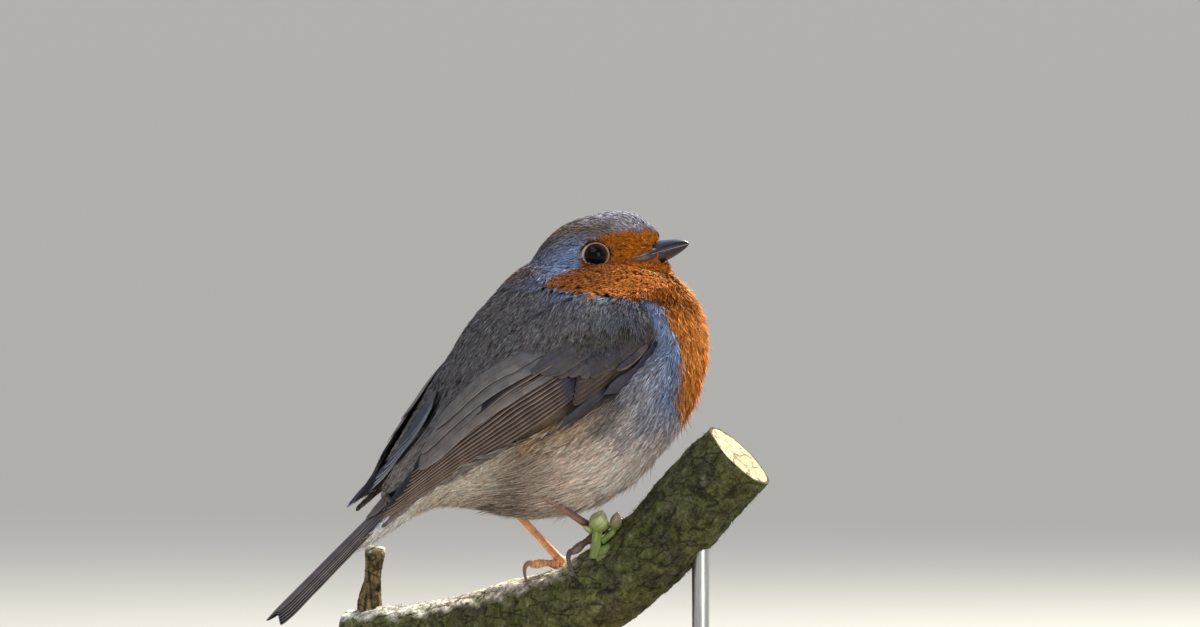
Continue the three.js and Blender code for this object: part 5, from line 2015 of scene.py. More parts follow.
@dataclass(frozen=True)
class Eye:
    """An eyeball in its ring of tiny pale feathers."""

    side: Side
    radius: float = 3.3
    cream: Colour = (0.50, 0.40, 0.31)
    rust: Colour = (0.33, 0.125, 0.03)
    bulge: float = 0.22  # mm that the cornea stands out

    @property
    def frame(self) -> tuple[Array, Array, Array]:
        """The eye's own directions.

        Returns:
            Unit directions forwards, up and out of the head.
        """
        axes = HEAD.axes
        out = unit(axes[:, 1] * self.side.sign + 0.05 * axes[:, 0] + 0.06 * axes[:, 2])
        ahead = flattened(axes[:, 0][None], out[None])[0]
        return ahead, unit(np.cross(out, ahead)) * self.side.sign, out

    def ring(self, name: str, reach: float, thick: float, out: float, wave: float) -> Piece:
        """A ring round the opening, thicker behind and below.

        Args:
            name: The piece's name.
            reach: Its radius in mm.
            thick: Its own thickness.
            out: How far out from the eyeball's middle it lies.
            wave: How uneven it is.

        Returns:
            The piece.
        """
        ahead, up, outwards = self.frame
        stout = 0.25
        piece = primitive(name, bpy.ops.mesh.primitive_torus_add, major_segments=96, minor_segments=14,
                          major_radius=1.0, minor_radius=stout)
        x, y, z = blank_places(piece.data)
        turn = np.arctan2(y, x)
        rear = 0.5 - 0.5 * np.cos(turn + 0.6)
        half = thick * (0.55 + 0.7 * rear) * (1 + wave * np.sin(turn * 31 + np.sin(turn * 7)))
        spoke = ahead * np.cos(turn)[:, None] * 1.03 + up * np.sin(turn)[:, None] * 0.93
        rim = reach + half * (np.hypot(x, y) - 1) / stout
        move_vertices(piece.data, EYE_CENTRES[self.side] + spoke * rim[:, None]
                      + outwards * (out + 0.8 * half * z / stout)[:, None])
        faced_out(piece)
        bpy.ops.object.shade_smooth()
        return piece

    def build(self) -> None:
        """Builds and finishes the eye and its rings."""
        side = self.side.value
        centre = placed(EYE_CENTRES[self.side])
        ball = primitive(f"eyeball_{side}", bpy.ops.mesh.primitive_uv_sphere_add, segments=64, ring_count=48,
                         radius=self.radius * MM, location=centre)
        bpy.ops.object.shade_smooth()
        ahead, up, out = self.frame
        places = vertex_places(ball.data) - EYE_CENTRES[self.side]
        off_axis = np.linalg.norm(places - (places @ out)[:, None] * out, axis=1)
        cornea = self.bulge * ramp(off_axis, 2.2, 0.8) * (places @ out > 0)
        move_vertices(ball.data, EYE_CENTRES[self.side] + places + out * cornea[:, None])
        paint(ball.data, mixed((0.002, 0.002, 0.003), (0.014, 0.008, 0.006), ramp(off_axis, 1.75, 1.95)))
        finish_piece(ball, "eye", EyeFinish().build(), f"eye_{side}")

        lid = self.ring(f"eye_ring_{side}", 2.90, 0.36, 1.76, 0.06)
        places = vertex_places(lid.data)
        spokes = places - EYE_CENTRES[self.side]
        reach = np.linalg.norm(spokes - (spokes @ out)[:, None] * out, axis=1)
        behind = ramp(unit(spokes) @ ahead - 0.7 * (unit(spokes) @ up), 0.5, -0.1)
        specks = 0.9 + 0.14 * np.sin(unit(spokes) @ ahead * 40)
        edge = mixed(self.rust, self.cream, behind) * specks[:, None]
        around = Markings().colours(Site(places, vertex_normals(lid.data)), np.zeros(len(places)))
        paint(lid.data, mixed(around, edge, ramp(reach, 3.0, 2.72) * (0.35 + 0.65 * behind)))
        finish_piece(lid, "plumage", CoatFinish().build())
        rim = self.ring(f"eye_rim_{side}", 2.53, 0.10, 2.06, 0.02)
        paint(rim.data, np.full((1, 3), 0.012))
        finish_piece(rim, "leg_skin", HornFinish("eye_rim", 0.4).build())


# ---------------------------------------------------------------- perch


@dataclass(frozen=True)
class Branch:
    """The cut length of branch, as a surface measured along it and round it from its crest."""

    path: tuple = (
        (-41.5, 37.1, -3.4), (-31.5, 28.3, -2.5), (-19.0, 17.3, -0.9), (-5.7, 5.6, 3.0), (1.6, -0.8, 5.9),
        (8.6, -6.9, 12.0), (17.5, -14.8, 22.3), (23.8, -20.3, 31.4), (30.1, -25.8, 39.6))
    radii: tuple = (6.9, 7.4, 8.2, 8.9, 9.3, 9.6, 9.5, 9.5, 9.3)

    @property
    def line(self) -> Curve:
        """Its centre line."""
        return Curve(self.path)

    def radius(self, t: Array) -> Array:
        """Its thickness from the centre line at each share of its length."""
        return spread(self.radii)(t)

    def at(self, t: Array, angle: Array, height: Array = 0.0) -> Array:
        """Places on or off the bark.

        Args:
            t: The share of the branch's length.
            angle: How far round from the crest.
            height: How far off the bark, in mm.

        Returns:
            The places in mm.
        """
        t, angle, height = np.broadcast_arrays(*(np.asarray(v, float) for v in (t, angle, height)))
        line = self.line
        along = line.heading(t)
        left = unit(np.cross(UP, along))
        reach = (self.radius(t) + height)[..., None]
        return (line.at(t) + np.cross(along, left) * reach * np.cos(angle)[..., None]
                + left * reach * np.sin(angle)[..., None])

    def stepped(self, t: float, angle: float, bearing: Array, reach: Array) -> tuple[Array, Array]:
        """A place on the bark reached from another.

        Args:
            t: Where along the branch it starts.
            angle: And how far round.
            bearing: The way it goes, in degrees from straight along.
            reach: How far it goes, in mm.

        Returns:
            Where it ends, along the branch and round it.
        """
        turn = np.radians(bearing)
        return (t + reach * np.cos(turn) / self.line.length,
                angle + reach * np.sin(turn) / (self.radius(np.asarray(t)) + 1.25))


BRANCH = Branch()


@dataclass
class Perch:
    """The branch with its bark, its broken twig and the opening buds."""

    olive: Colour = (0.116, 0.114, 0.043)
    brown: Colour = (0.088, 0.080, 0.044)
    moss: Colour = (0.115, 0.120, 0.040)
    # The pale colour of the painted highlight along the crest, and of small lichen specks.
    sunlit_crest_and_lichen: Colour = (0.80, 0.745, 0.68)
    crack: Colour = (0.020, 0.016, 0.010)
    wood: Colour = (0.55, 0.44, 0.28)
    fibres: int = 6000

    def bark(self) -> Stock:
        """The bark with its lumps and cracks, and the sawn ends with their growth rings.

        Returns:
            The solid.
        """
        stock = Stock("bark", (20, 19), 180, 30)
        t, angle, reach = stock.t, stock.angle, stock.reach
        flat = BRANCH.at(t, angle)
        run = t * BRANCH.line.length
        skew = np.stack((run * 0.42 - np.sin(angle) * 5.7, np.cos(angle) * 9.5, np.sin(angle) * 9.5), -1)
        lumps = Noise(16.0, 21)(flat) * 0.30 + Noise(5.5, 22)(flat) * 0.14 + Noise(2.2, 23)(flat) * 0.07
        lines = np.abs(Noise(7.0, 24)(skew)) * 0.7 + np.abs(Noise(3.6, 25)(skew)) * 0.5
        cracks = np.exp(-((lines / 0.17) ** 2)) * np.clip(0.6 + 0.5 * Noise(12.0, 26)(flat), 0, 1)
        crumbs = np.maximum(0, Noise(1.15, 27)(flat)) * 0.09
        height = np.clip(lumps - 0.55 * cracks + crumbs - 0.15, -0.9, 0.45)
        rim = BRANCH.at(t, angle, height)
        middle = BRANCH.line.at(t)
        stock.place(middle + (rim - middle) * reach[:, None])
        tint = self.tints(t, angle, flat)
        tint = mixed(tint, self.crack, np.clip(1.3 * cracks, 0, 1))
        tint = tint * np.exp(0.16 * Noise(0.9, 32)(flat))[:, None]
        wave = np.sin(reach**0.9 * 75 + 0.6 * np.sin(angle * 2 + 1))
        wood = np.array(self.wood) * (0.80 + 0.14 * wave - 0.25 * ramp(reach, 0.12, 0.03))[:, None]
        wood = mixed(wood, np.array(self.crack) * 2.2, ramp(reach, 0.90, 0.94))
        return stock.paint(mixed(wood, tint, reach > 0.99))

    def twig(self) -> Stock:
        """The broken twig near the lower end.

        Returns:
            The solid.
        """
        root = BRANCH.at(0.048, 0.0, -2.0)
        lean = unit(np.array((0.08, -0.05, 1.0)))
        curve = Curve([root + lean * t * 16.5 for t in (0, 0.35, 0.7, 1)])
        stock = Stock("twig", (10, 9), 44)
        stock.draw(curve, lambda t: 1.84 * (1.5 - 0.5 * t + 0.12 * np.sin(9 * t)))
        flat = vertex_places(stock.piece.data)
        out = unit(flat - curve.at(stock.t) + 1e-6) * (stock.reach > 0.5)[:, None]
        rough = Noise(2.6, 40)(flat * (1, 1, 0.35)) * 0.16 + Noise(0.9, 41)(flat) * 0.06
        grain = Noise(1.1, 42)(flat * (1, 1, 0.12))
        tint = mixed((0.19, 0.135, 0.06), (0.035, 0.024, 0.014), np.clip(0.35 + 1.1 * grain, 0, 1))
        tint = mixed(tint, (0.50, 0.47, 0.34), ramp(stock.t + 0.03 * grain, 0.88, 0.97))
        # A small dent, painted near black as painted shade inside the hole.
        hole = np.exp(-((np.linalg.norm(flat - (root + lean * 6.2 + (0.9, -1.9, 0)), axis=1) / 0.8) ** 2))
        stock.place(flat + out * (rough - 0.5 * hole)[:, None])
        return stock.paint(mixed(tint, (0.01, 0.008, 0.006), np.clip(1.5 * hole, 0, 1)))

    def tints(self, t: Array, angle: Array, flat: Array) -> Array:
        """The bark's colours before its cracks: brown and green, a painted highlight along the lower half's
        crest with pale lichen specks, and painted shade towards the upper end.

        Args:
            t: The share of the branch's length.
            angle: How far round from the crest.
            flat: The places in mm.

        Returns:
            Linear colours.
        """
        tint = mixed(self.brown, self.olive, np.clip(Noise(10.0, 28)(flat) * 0.6 + 0.6, 0, 1))
        tint = mixed(tint, self.moss, np.clip(Noise(6.0, 29)(flat) * 0.7, 0, 0.8))
        # Painted highlight: pale along the lower half's crest, as if sunlit.
        crest = ramp(np.cos(angle - 0.12) + 0.08 * Noise(4.0, 33)(flat), 0.42, 0.74) * ramp(t, 0.66, 0.44)
        tint = mixed(tint, self.sunlit_crest_and_lichen, crest * np.clip(0.75 + 0.3 * Noise(3.0, 30)(flat), 0, 1))
        tint = mixed(tint, self.sunlit_crest_and_lichen, 0.12 * np.clip(Noise(2.4, 31)(flat) - 1.0, 0, 1))
        # Painted shade: darker towards the upper end.
        return tint * (1 - 0.34 * ramp(t, 0.56, 0.74))[:, None]

    def fuzz(self) -> Piece:
        """Fine fibres of moss and loose bark that soften the branch's edge, as one mesh of thin spikes.

        Returns:
            The piece.
        """
        rng = np.random.default_rng(51)
        count = self.fibres
        t, angle = rng.uniform(0.015, 0.985, count), rng.uniform(-math.pi, math.pi, count)
        root = BRANCH.at(t, angle, -0.25)
        up = unit(BRANCH.at(t, angle, 1.0) - root)
        lean = up * rng.uniform(0.2, 0.9, (count, 1))
        lean = lean + BRANCH.line.heading(t) * rng.uniform(-1.2, 0.4, (count, 1))
        lean = unit(lean + rng.normal(0, 0.35, (count, 3)))
        side = unit(np.cross(lean, up)) * rng.uniform(0.05, 0.09, (count, 1))
        deep = np.cross(unit(side), lean) * 0.05
        tip = root + lean * rng.uniform(0.5, 1.25, (count, 1))
        points = np.stack((root + side, root - side, root + deep, tip), 1)
        spike = np.array(((0, 1, 3), (1, 2, 3), (2, 0, 3), (0, 2, 1)))
        faces = (np.arange(count)[:, None, None] * 4 + spike).reshape(-1, 3)
        piece = array_mesh("bark_fuzz", points.reshape(-1, 3), (faces,))
        tint = self.tints(t, angle, root) * rng.uniform(0.7, 1.5, (count, 1))
        paint(piece.data, np.repeat(tint, 4, axis=0))
        return piece

    def build(self) -> None:
        """Builds and finishes the branch."""
        piece = joined("branch_bark", [self.bark(), self.twig()])
        material = BarkFinish().build()
        finish_piece(piece, "bark", material, "perch_branch")
        finish_piece(self.fuzz(), "bark", material)
        Bud().build()


@dataclass
class Bud:
    """Two opening leaf buds on one short stalk, in front of the right foot."""

    green: Colour = (0.25, 0.33, 0.075)
    pale: Colour = (0.46, 0.48, 0.27)
    stalk: Colour = (0.17, 0.23, 0.06)
    brown: Colour = (0.31, 0.23, 0.15)

    def egg(self, centre: Array, axis: Array, length: float, width: float, low: Colour, high: Colour,
            folds: int = 5) -> Stock:
        """A bud: a pointed egg wrapped in overlapping scales.

        Args:
            centre: Its middle.
            axis: The way it points.
            length: In mm.
            width: Its radius.
            low: Colour at its foot.
            high: Colour at its tip.
            folds: How many scales wrap it.

        Returns:
            The solid.
        """
        axis = unit(np.asarray(axis, float))
        curve = Curve([centre + axis * length * t for t in (-0.5, -0.17, 0.17, 0.5)])

        def wound(t: Array, angle: Array) -> Array:
            """How far across its scale each place lies, 0 to 1."""
            return (angle * folds / (2 * math.pi) + 1.6 * t) % 1.0

        def relief(t: Array, angle: Array) -> Array:
            """The scales' edges, which wind round the bud."""
            return width * 0.14 * (wound(t, angle) - 0.5) * np.sin(math.pi * t)

        def radius(t: Array) -> Array:
            """An egg's outline with a pointed tip."""
            return width * np.sin(math.pi * np.clip(t, 0.03, 0.985) ** 0.85) ** 0.7

        stock = Stock("bud", (9, 5), 48).draw(curve, radius, relief)
        # Painted shade on each scale, just under the edge of the scale that overlaps it.
        edge = np.exp(-((wound(stock.t, stock.angle) / 0.10) ** 2))
        return stock.paint(mixed(low, high, ramp(stock.t, 0.15, 0.8)) * (1 - 0.45 * edge)[:, None])

    def build(self) -> None:
        """Builds and finishes the buds."""
        root = BRANCH.at(0.628, -0.92, -0.6)
        lean = unit(np.array((0.04, -0.14, 1.0)))
        right = np.array((0.927, -0.375, 0.0))

        def fluted(t: Array, angle: Array) -> Array:
            """Leaf bases that run down the stalk."""
            return 0.16 * np.sin(3 * angle + 2 * t) * (0.4 + 0.6 * t)

        line = Curve([root + lean * t * 11.9 for t in (0, 0.2, 0.42, 0.6)])
        stem = Stock("bud_stalk", (9, 5), 36).draw(line, lambda t: 1.35 - 0.5 * t + 0.35 * t**3, fluted)
        stem.paint(mixed(self.stalk, self.green, ramp(stem.t, 0.1, 0.9)))
        bend = ((4.0, 1.2), (5.2, 2.6), (6.2, 3.6), (7.4, 4.0))
        arm = Stock("bud_arm", (9, 5), 36).draw(
            Curve([root + lean * a + right * b for a, b in bend]), lambda t: 0.85 - 0.2 * t)
        parts = [stem, arm.paint(np.array(self.stalk))]
        # Each bud's place up the stalk and to its right, its axis in the same terms, then its own measures.
        for up, off, rise, out, *own in (
                (8.7, 0.25, 1.0, 0.25, 5.6, 2.25, self.green, self.pale),
                (6.9, -1.9, 0.5, -1.0, 3.2, 0.75, self.green, self.pale, 2),
                (8.7, 4.1, 1.0, 0.1, 4.6, 1.35, self.stalk, self.brown),
                (1.2, 2.4, 1.0, 0.7, 7.0, 1.9, self.stalk, self.stalk, 3)):
            parts.append(self.egg(root + lean * up + right * off, lean * rise + right * out, *own))
        finish_piece(joined("bud_scales", parts), "bud", BudFinish().build(), "perch_bud")


# ---------------------------------------------------------------- legs


@dataclass(frozen=True)
class Toe:
    """One toe: its bearing on the bark, its length and its claw's, its end's lift and the claw's hook."""

    name: str
    bearing: float
    length: float
    claw: float
    lift: float = 0.0
    hook: float = 0.0


@dataclass(frozen=True)
class Leg:
    """A bare shank and its gripping foot."""

    side: Side
    t: float  # where the foot stands along the branch
    angle: float  # and round it
    heel: tuple[float, float, float]  # where the shank enters the belly
    bearings: tuple[float, float, float, float]  # of the inner, middle, outer and hind toes
    skin: Colour
    under: Colour
    claw_tint: Colour
    foot_height: float = 1.25
    shank_scutes: float = 6.5
    scute: float = 0.95  # mm that each scute of a toe is long

    @property
    def toes(self) -> tuple[Toe, ...]:
        """The foot's four toes.

        Returns:
            The inner, middle, outer and hind ones.
        """
        inner, middle, outer, hind = self.bearings
        return (Toe("inner", inner, 9.5, 3.8), Toe("middle", middle, 14.5, 5.0),
                Toe("outer", outer, 10.5, 3.8), Toe("hind", hind, 8.2, 6.2, 1.4, 45.0))

    def painted(self, stock: Stock, shade: Array) -> Stock:
        """Skin colours, warmer on the lower side, with the joints in shade."""
        tint = mixed(self.skin, self.under, ramp(np.cos(stock.angle), 0.2, -0.7))
        return stock.paint(tint * np.asarray(shade)[..., None])

    def toe(self, toe: Toe) -> Stock:
        """A toe with its scutes above and pads below.

        Args:
            toe: Which one.

        Returns:
            The solid.
        """
        reach = np.linspace(1.4, toe.length + 0.25, 7)
        t, angle = BRANCH.stepped(self.t, self.angle, toe.bearing, reach)
        lift = self.foot_height + toe.lift * np.minimum(1, reach / toe.length) ** 1.5
        curve = Curve(BRANCH.at(t, angle, lift))
        count = round(curve.length / self.scute)

        def relief(t: Array, angle: Array) -> Array:
            """Scutes across the top and soft pads underneath.

            Args:
                t: The share of the length.
                angle: How far round from the top.

            Returns:
                Extra radius in mm.
            """
            upper = np.clip(np.cos(angle) * 1.6, 0, 1)
            lower = np.clip(-np.cos(angle), 0, 1)
            scute = np.abs(np.sin(math.pi * count * t)) ** 0.5 - 0.8
            return 0.13 * upper * scute + 0.16 * lower * np.sin(3 * math.pi * t + 0.4)

        stock = Stock("toe", (10, 9), 20)
        thick = 1.0 if toe.name == "hind" else 0.82
        stock.draw(curve, lambda t: thick * (1 - 0.16 * t + 0.12 * np.cos(3 * math.pi * t)), relief)
        joints = np.abs(np.sin(math.pi * count * stock.t))
        return self.painted(stock, 1 - 0.45 * np.exp(-((joints / 0.28) ** 2)))

    def claw(self, toe: Toe) -> Stock:
        """A curved claw, deep at its root and sharp at its tip.

        Args:
            toe: Whose it is.

        Returns:
            The solid.
        """
        t, angle = BRANCH.stepped(self.t, self.angle, toe.bearing, np.asarray(toe.length - 0.5))
        share = np.linspace(0, 1, 9)
        t, angle = BRANCH.stepped(float(t), float(angle), toe.bearing + toe.hook * share**0.5,
                                  (toe.claw + 0.7) * share)
        fall = (self.foot_height + toe.lift) * (1 - share**1.5) + 0.6 * share**1.5
        curve = Curve(BRANCH.at(t, angle, fall + 0.95 * np.sin(math.pi * share**0.8)))
        stock = Stock("claw", (6, 6), 14).draw(curve, lambda t: 0.64 * (1 - t) ** 0.75 + 0.07, flat=1.1)
        tint = mixed(self.claw_tint, tuple(0.35 * c for c in self.claw_tint), ramp(stock.t, 0.3, 1.0))
        return stock.paint(mixed(tint, self.skin, ramp(stock.t, 0.22, 0.0) * 0.6))

    def shank(self) -> list[Stock]:
        """The shank from the belly down, and the knuckle at its foot.

        Returns:
            The solids.
        """
        knuckle = BRANCH.at(self.t, self.angle, self.foot_height + 0.5)
        heel = np.array(self.heel)
        ways = [heel + (knuckle - heel) * t for t in (0.12, 0.3, 0.7, 1.0)]
        ways[0] = ways[0] - (0.0, math.copysign(4.2, heel[1]), 0.0)
        line = Curve(ways)
        shape = spread((1.15, 1.02, 0.96, 0.98, 1.25))
        steps = self.shank_scutes * math.pi

        def relief(t: Array, angle: Array) -> Array:
            """Long scutes down the front, with shallow steps between them."""
            front = np.clip(np.cos(angle), 0, 1)
            return 0.07 * front * (np.abs(np.sin(steps * t)) ** 0.4 - 0.8) - 0.05 * np.abs(np.sin(angle)) ** 3

        stock = Stock("shank", (12, 11), 22).draw(line, lambda t: 0.9 * shape(t), relief)
        groove = 1 - 0.16 * np.exp(-((np.abs(np.sin(steps * stock.t)) / 0.16) ** 2))
        # Painted shade down both sides of the shank.
        streak = 1 - 0.22 * np.exp(-(((np.abs(stock.angle) - math.pi / 2) / 0.2) ** 2))
        ball = Curve([knuckle + UP * h for h in (-1.25, -0.4, 0.4, 1.25)])
        knob = Stock("knuckle", (10, 9), 20)
        knob.draw(ball, lambda t: 1.3 * np.sqrt(np.clip(1 - (2 * t - 1) ** 2, 0.04, 1)))
        return [self.painted(stock, groove * streak), self.painted(knob, 1.0)]

    def build(self) -> None:
        """Builds and finishes the leg and its claws."""
        side = self.side.value
        skin = joined(f"leg_skin_{side}", self.shank() + [self.toe(toe) for toe in self.toes])
        nodes = [f"toe_{side}_{toe.name}" for toe in self.toes]
        finish_piece(skin, "leg_skin", LegFinish().build(), f"shank_{side}", *nodes)
        claws = joined(f"claws_{side}", [self.claw(toe) for toe in self.toes])
        finish_piece(claws, "horn", HornFinish("claw_horn", 0.3).build(),
                     *(node.replace("toe", "claw") for node in nodes))


# The left leg and claws are painted bright orange as if lit through from behind, and the right ones dark as
# if in shade: painted light and painted shade on the same skin.
LEGS = (
    Leg(Side.LEFT, 0.504, 0.3, (-18.6, 8.0, 33.8), (52.0, 88.0, 124.0, 222.0), (0.92, 0.43, 0.22),
        (0.98, 0.50, 0.24), (0.40, 0.20, 0.14)),
    Leg(Side.RIGHT, 0.66, -0.28, (-21.0, -17.3, 34.6), (126.0, 90.0, 54.0, 206.0), (0.21, 0.13, 0.125),
        (0.34, 0.19, 0.145), (0.13, 0.085, 0.09)))


# ---------------------------------------------------------------- stand


@dataclass(frozen=True)
class Stand:
    """The plain display stand: a turned wooden base and two steel rods."""

    radius: float = 56.0
    height: float = 9.0
    round_off: float = 2.5
    rim_steps: int = 8

    def bar(self, name: str, sides: int, radius: float, low: float, high: float, centre: Sequence[float],
            bevels: Sequence[tuple[float, float]]) -> Piece:
        """Turns a round bar with softened rims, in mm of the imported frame.

        Args:
            name: The piece's name.
            sides: How many sides it has.
            radius: Its radius.
            low: The height of its lower end.
            high: The height of its upper end.
            centre: Its x and y.
            bevels: For each rim to soften, its height and how far.

        Returns:
            The piece.
        """
        middle = (centre[0] * MM, centre[1] * MM, (low + high) / 2 * MM)
        piece = primitive(name, bpy.ops.mesh.primitive_cylinder_add, vertices=sides, radius=radius * MM,
                          depth=(high - low) * MM, location=middle)
        mesh = piece.data
        for height, width in bevels:
            pick(mesh, "EDGE", lambda edge: all(
                abs(mesh.vertices[i].co.z - height * MM) < TOLERANCE for i in edge.vertices))
            bpy.ops.mesh.bevel(offset=width * MM, segments=self.rim_steps, profile=0.5, affect="EDGES")
            bpy.ops.object.mode_set(mode="OBJECT")
        bpy.ops.object.shade_smooth_by_angle(angle=math.radians(35))
        return piece

    def build(self) -> None:
        """Builds and finishes the base and the rods."""
        base = self.bar("turned_base", 128, self.radius, 0.0, self.height, (0.0, 0.0),
                        ((self.height, self.round_off), (0.0, 0.8)))
        finish_piece(base, "stand_wood", WalnutFinish().build(), "stand_base")
        steel = SteelFinish().build()
        for name in ("stand_rod_1", "stand_rod_2"):
            low, high = (np.array(v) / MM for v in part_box(name))
            middle = (low + high) / 2
            radius = (high[0] - low[0]) / 2
            rod = self.bar(name + "_drawn", 64, radius, low[2], high[2], middle[:2], ((high[2], 0.3),))
            finish_piece(rod, "stand_steel", steel, name)


# ---------------------------------------------------------------- finishes


class Recipe:
    """A material's nodes, built from code."""

    def __init__(self, name: str, **sockets: object) -> None:
        """Starts a material.

        Args:
            name: Its name.
            sockets: Values of its Principled shader's sockets, named with _ for spaces.
        """
        self.material = bpy.data.materials.new(name)
        self.material.use_nodes = True
        self.tree = self.material.node_tree
        self.shader = self.tree.nodes["Principled BSDF"]
        for key, value in sockets.items():
            self.shader.inputs[key.replace("_", " ")].default_value = value

    def add(self, kind: str, *links: object, **settings: object) -> bpy.types.Node:
        """Adds a node.

        Args:
            kind: Its type, without the ShaderNode in front.
            links: For each input in order, a socket to link, a value to set, or None to leave it.
            settings: The node's own properties.

        Returns:
            The node.
        """
        node = self.tree.nodes.new("ShaderNode" + kind)
        for key, value in settings.items():
            setattr(node, key, value)
        for socket, value in zip(node.inputs, links):
            self.feed(socket, value)
        return node

    def feed(self, socket: Socket, value: object) -> None:
        """Fills a socket.

        Args:
            socket: The socket.
            value: Another to link to it, a value to set, or None to leave it.
        """
        if isinstance(value, Socket):
            self.tree.links.new(value, socket)
        elif value is not None:
            socket.default_value = value

    def fed(self, node: bpy.types.Node, **values: object) -> Socket:
        """Feeds some of a node's inputs.

        Args:
            node: The node.
            values: What goes into each, by its name with _ for spaces.

        Returns:
            The node's first output.
        """
        for key, value in values.items():
            self.feed(node.inputs[key.replace("_", " ")], value)
        return node.outputs[0]

    def places(self, scale: Sequence[float] = (1, 1, 1), shift: Sequence[float] = (0, 0, 0),
               turn: Sequence[float] = (0, 0, 0)) -> Socket:
        """Object coordinates in metres.

        Args:
            scale: How they are scaled.
            shift: How they are moved first.
            turn: How they are turned, in radians.

        Returns:
            The coordinates.
        """
        where = self.add("TexCoord").outputs["Object"]
        mapping = self.add("Mapping", where, tuple(shift), tuple(turn), tuple(scale))
        return mapping.outputs[0]

    def noise(self, where: Socket, scale: float, detail: float = 3.0,
              rough: float = 0.55) -> Socket:
        """A noise pattern's value."""
        return self.fed(self.add("TexNoise"), Vector=where, Scale=scale, Detail=detail, Roughness=rough)

    def cells(self, where: Socket, scale: float) -> Socket:
        """How far each place lies from the edge of its cell in a pattern of cells."""
        return self.fed(self.add("TexVoronoi", feature="DISTANCE_TO_EDGE"), Vector=where, Scale=scale)

    def blend(self, share: object, low: object, high: object, how: str = "MIX") -> Socket:
        """Two colours mixed by a share.

        Args:
            share: How much of the second.
            low: The first colour.
            high: The second.
            how: The way of mixing.

        Returns:
            The mix.
        """
        node = self.tree.nodes.new("ShaderNodeMix")
        node.data_type, node.blend_type = "RGBA", how
        for key, value in ((0, share), (6, low), (7, high)):
            if isinstance(value, tuple) and len(value) == 3:
                value = (*value, 1.0)
            self.feed(node.inputs[key], value)
        return node.outputs[2]

    def ramp(self, value: Socket, low: float, high: float, start: float = 0.0,
             end: float = 1.0) -> Socket:
        """A value carried smoothly from low..high to start..end."""
        node = self.add("MapRange", value, low, high, start, end, interpolation_type="SMOOTHSTEP")
        return node.outputs[0]

    def maths(self, how: str, *values: object) -> Socket:
        """A sum or other operation on numbers."""
        return self.add("Math", *values, operation=how).outputs[0]

    def tint(self) -> Socket:
        """The colour that the piece carries point by point."""
        return self.add("VertexColor", layer_name=TINT).outputs["Color"]

    def speckled(self, share: Socket, colour: Colour) -> Socket:
        """The piece's own colours, with a share of another."""
        return self.blend(share, self.tint(), colour)

    def total(self, *terms: tuple[Socket, float]) -> Socket:
        """The sum of two values, each times a number."""
        return self.maths("ADD", *(self.maths("MULTIPLY", value, times) for value, times in terms))

    def shaded(self, shade: Socket) -> Socket:
        """The piece's own colours, made lighter and darker by a pattern."""
        grey = self.add("CombineColor", shade, shade, shade).outputs[0]
        return self.blend(1.0, self.tint(), grey, "MULTIPLY")

    def bump(self, height: Socket, strength: float, distance: float) -> None:
        """Relief on the shader's normal; distance is in metres."""
        normal = self.fed(self.add("Bump"), Strength=strength, Distance=distance, Height=height)
        self.feed(self.shader.inputs["Normal"], normal)

    def finish(self, colour: object) -> Material:
        """Ends the recipe.

        Args:
            colour: The shader's base colour.

        Returns:
            The material.
        """
        if isinstance(colour, tuple) and len(colour) == 3:
            colour = (*colour, 1.0)
        self.feed(self.shader.inputs["Base Color"], colour)
        return self.material


@dataclass(frozen=True)
class CoatFinish:
    """Soft small feathers: the painted markings, broken by fine change from barb to barb."""

    roughness: float = 0.85
    gloss: float = 0.06

    def build(self) -> Material:
        """Makes the material.

        Returns:
            The material.
        """
        recipe = Recipe("coat", Roughness=self.roughness, Specular_IOR_Level=self.gloss)
        fine = recipe.noise(recipe.places(), 1400.0, 2.0)
        return recipe.finish(recipe.speckled(recipe.ramp(fine, 0.3, 0.7, 0.0, 0.3), BLACK))


@dataclass(frozen=True)
class SkinFinish:
    """The down under the coat, in shade."""

    roughness: float = 0.9

    def build(self) -> Material:
        """Makes the material.

        Returns:
            The material.
        """
        recipe = Recipe("down", Roughness=self.roughness, Specular_IOR_Level=0.1)
        fluff = recipe.noise(recipe.places(), 900.0, 4.0)
        recipe.bump(fluff, 0.6, 0.0004)
        dark = (0.02, 0.018, 0.018)
        return recipe.finish(recipe.speckled(recipe.ramp(fluff, 0.4, 0.9, 0.0, 0.5), dark))


@dataclass(frozen=True)
class HornFinish:
    """Satin horn in the piece's own colours, with a fine grain."""

    name: str
    roughness: float
    gloss: float = 0.6

    def build(self) -> Material:
        """Makes the material.

        Returns:
            The material.
        """
        recipe = Recipe(self.name, Roughness=self.roughness, Specular_IOR_Level=self.gloss,
                        Coat_Weight=self.gloss * 0.3, Coat_Roughness=0.25)
        grain = recipe.noise(recipe.places((1, 1, 1)), 2600.0, 3.0)
        recipe.bump(grain, 0.25, 0.00005)
        shade = recipe.ramp(grain, 0.3, 0.7, 0.8, 1.15)
        return recipe.finish(recipe.shaded(shade))


@dataclass(frozen=True)
class EyeFinish:
    """A wet, almost black eye."""

    def build(self) -> Material:
        """Makes the material.

        Returns:
            The material.
        """
        recipe = Recipe("wet_eye", Roughness=0.12, IOR=1.376, Specular_IOR_Level=0.10, Coat_Weight=0.10,
                        Coat_Roughness=0.03)
        fleck = recipe.noise(recipe.places(), 2500.0, 3.0)
        return recipe.finish(recipe.speckled(recipe.ramp(fleck, 0.4, 0.8, 0.0, 0.5), BLACK))


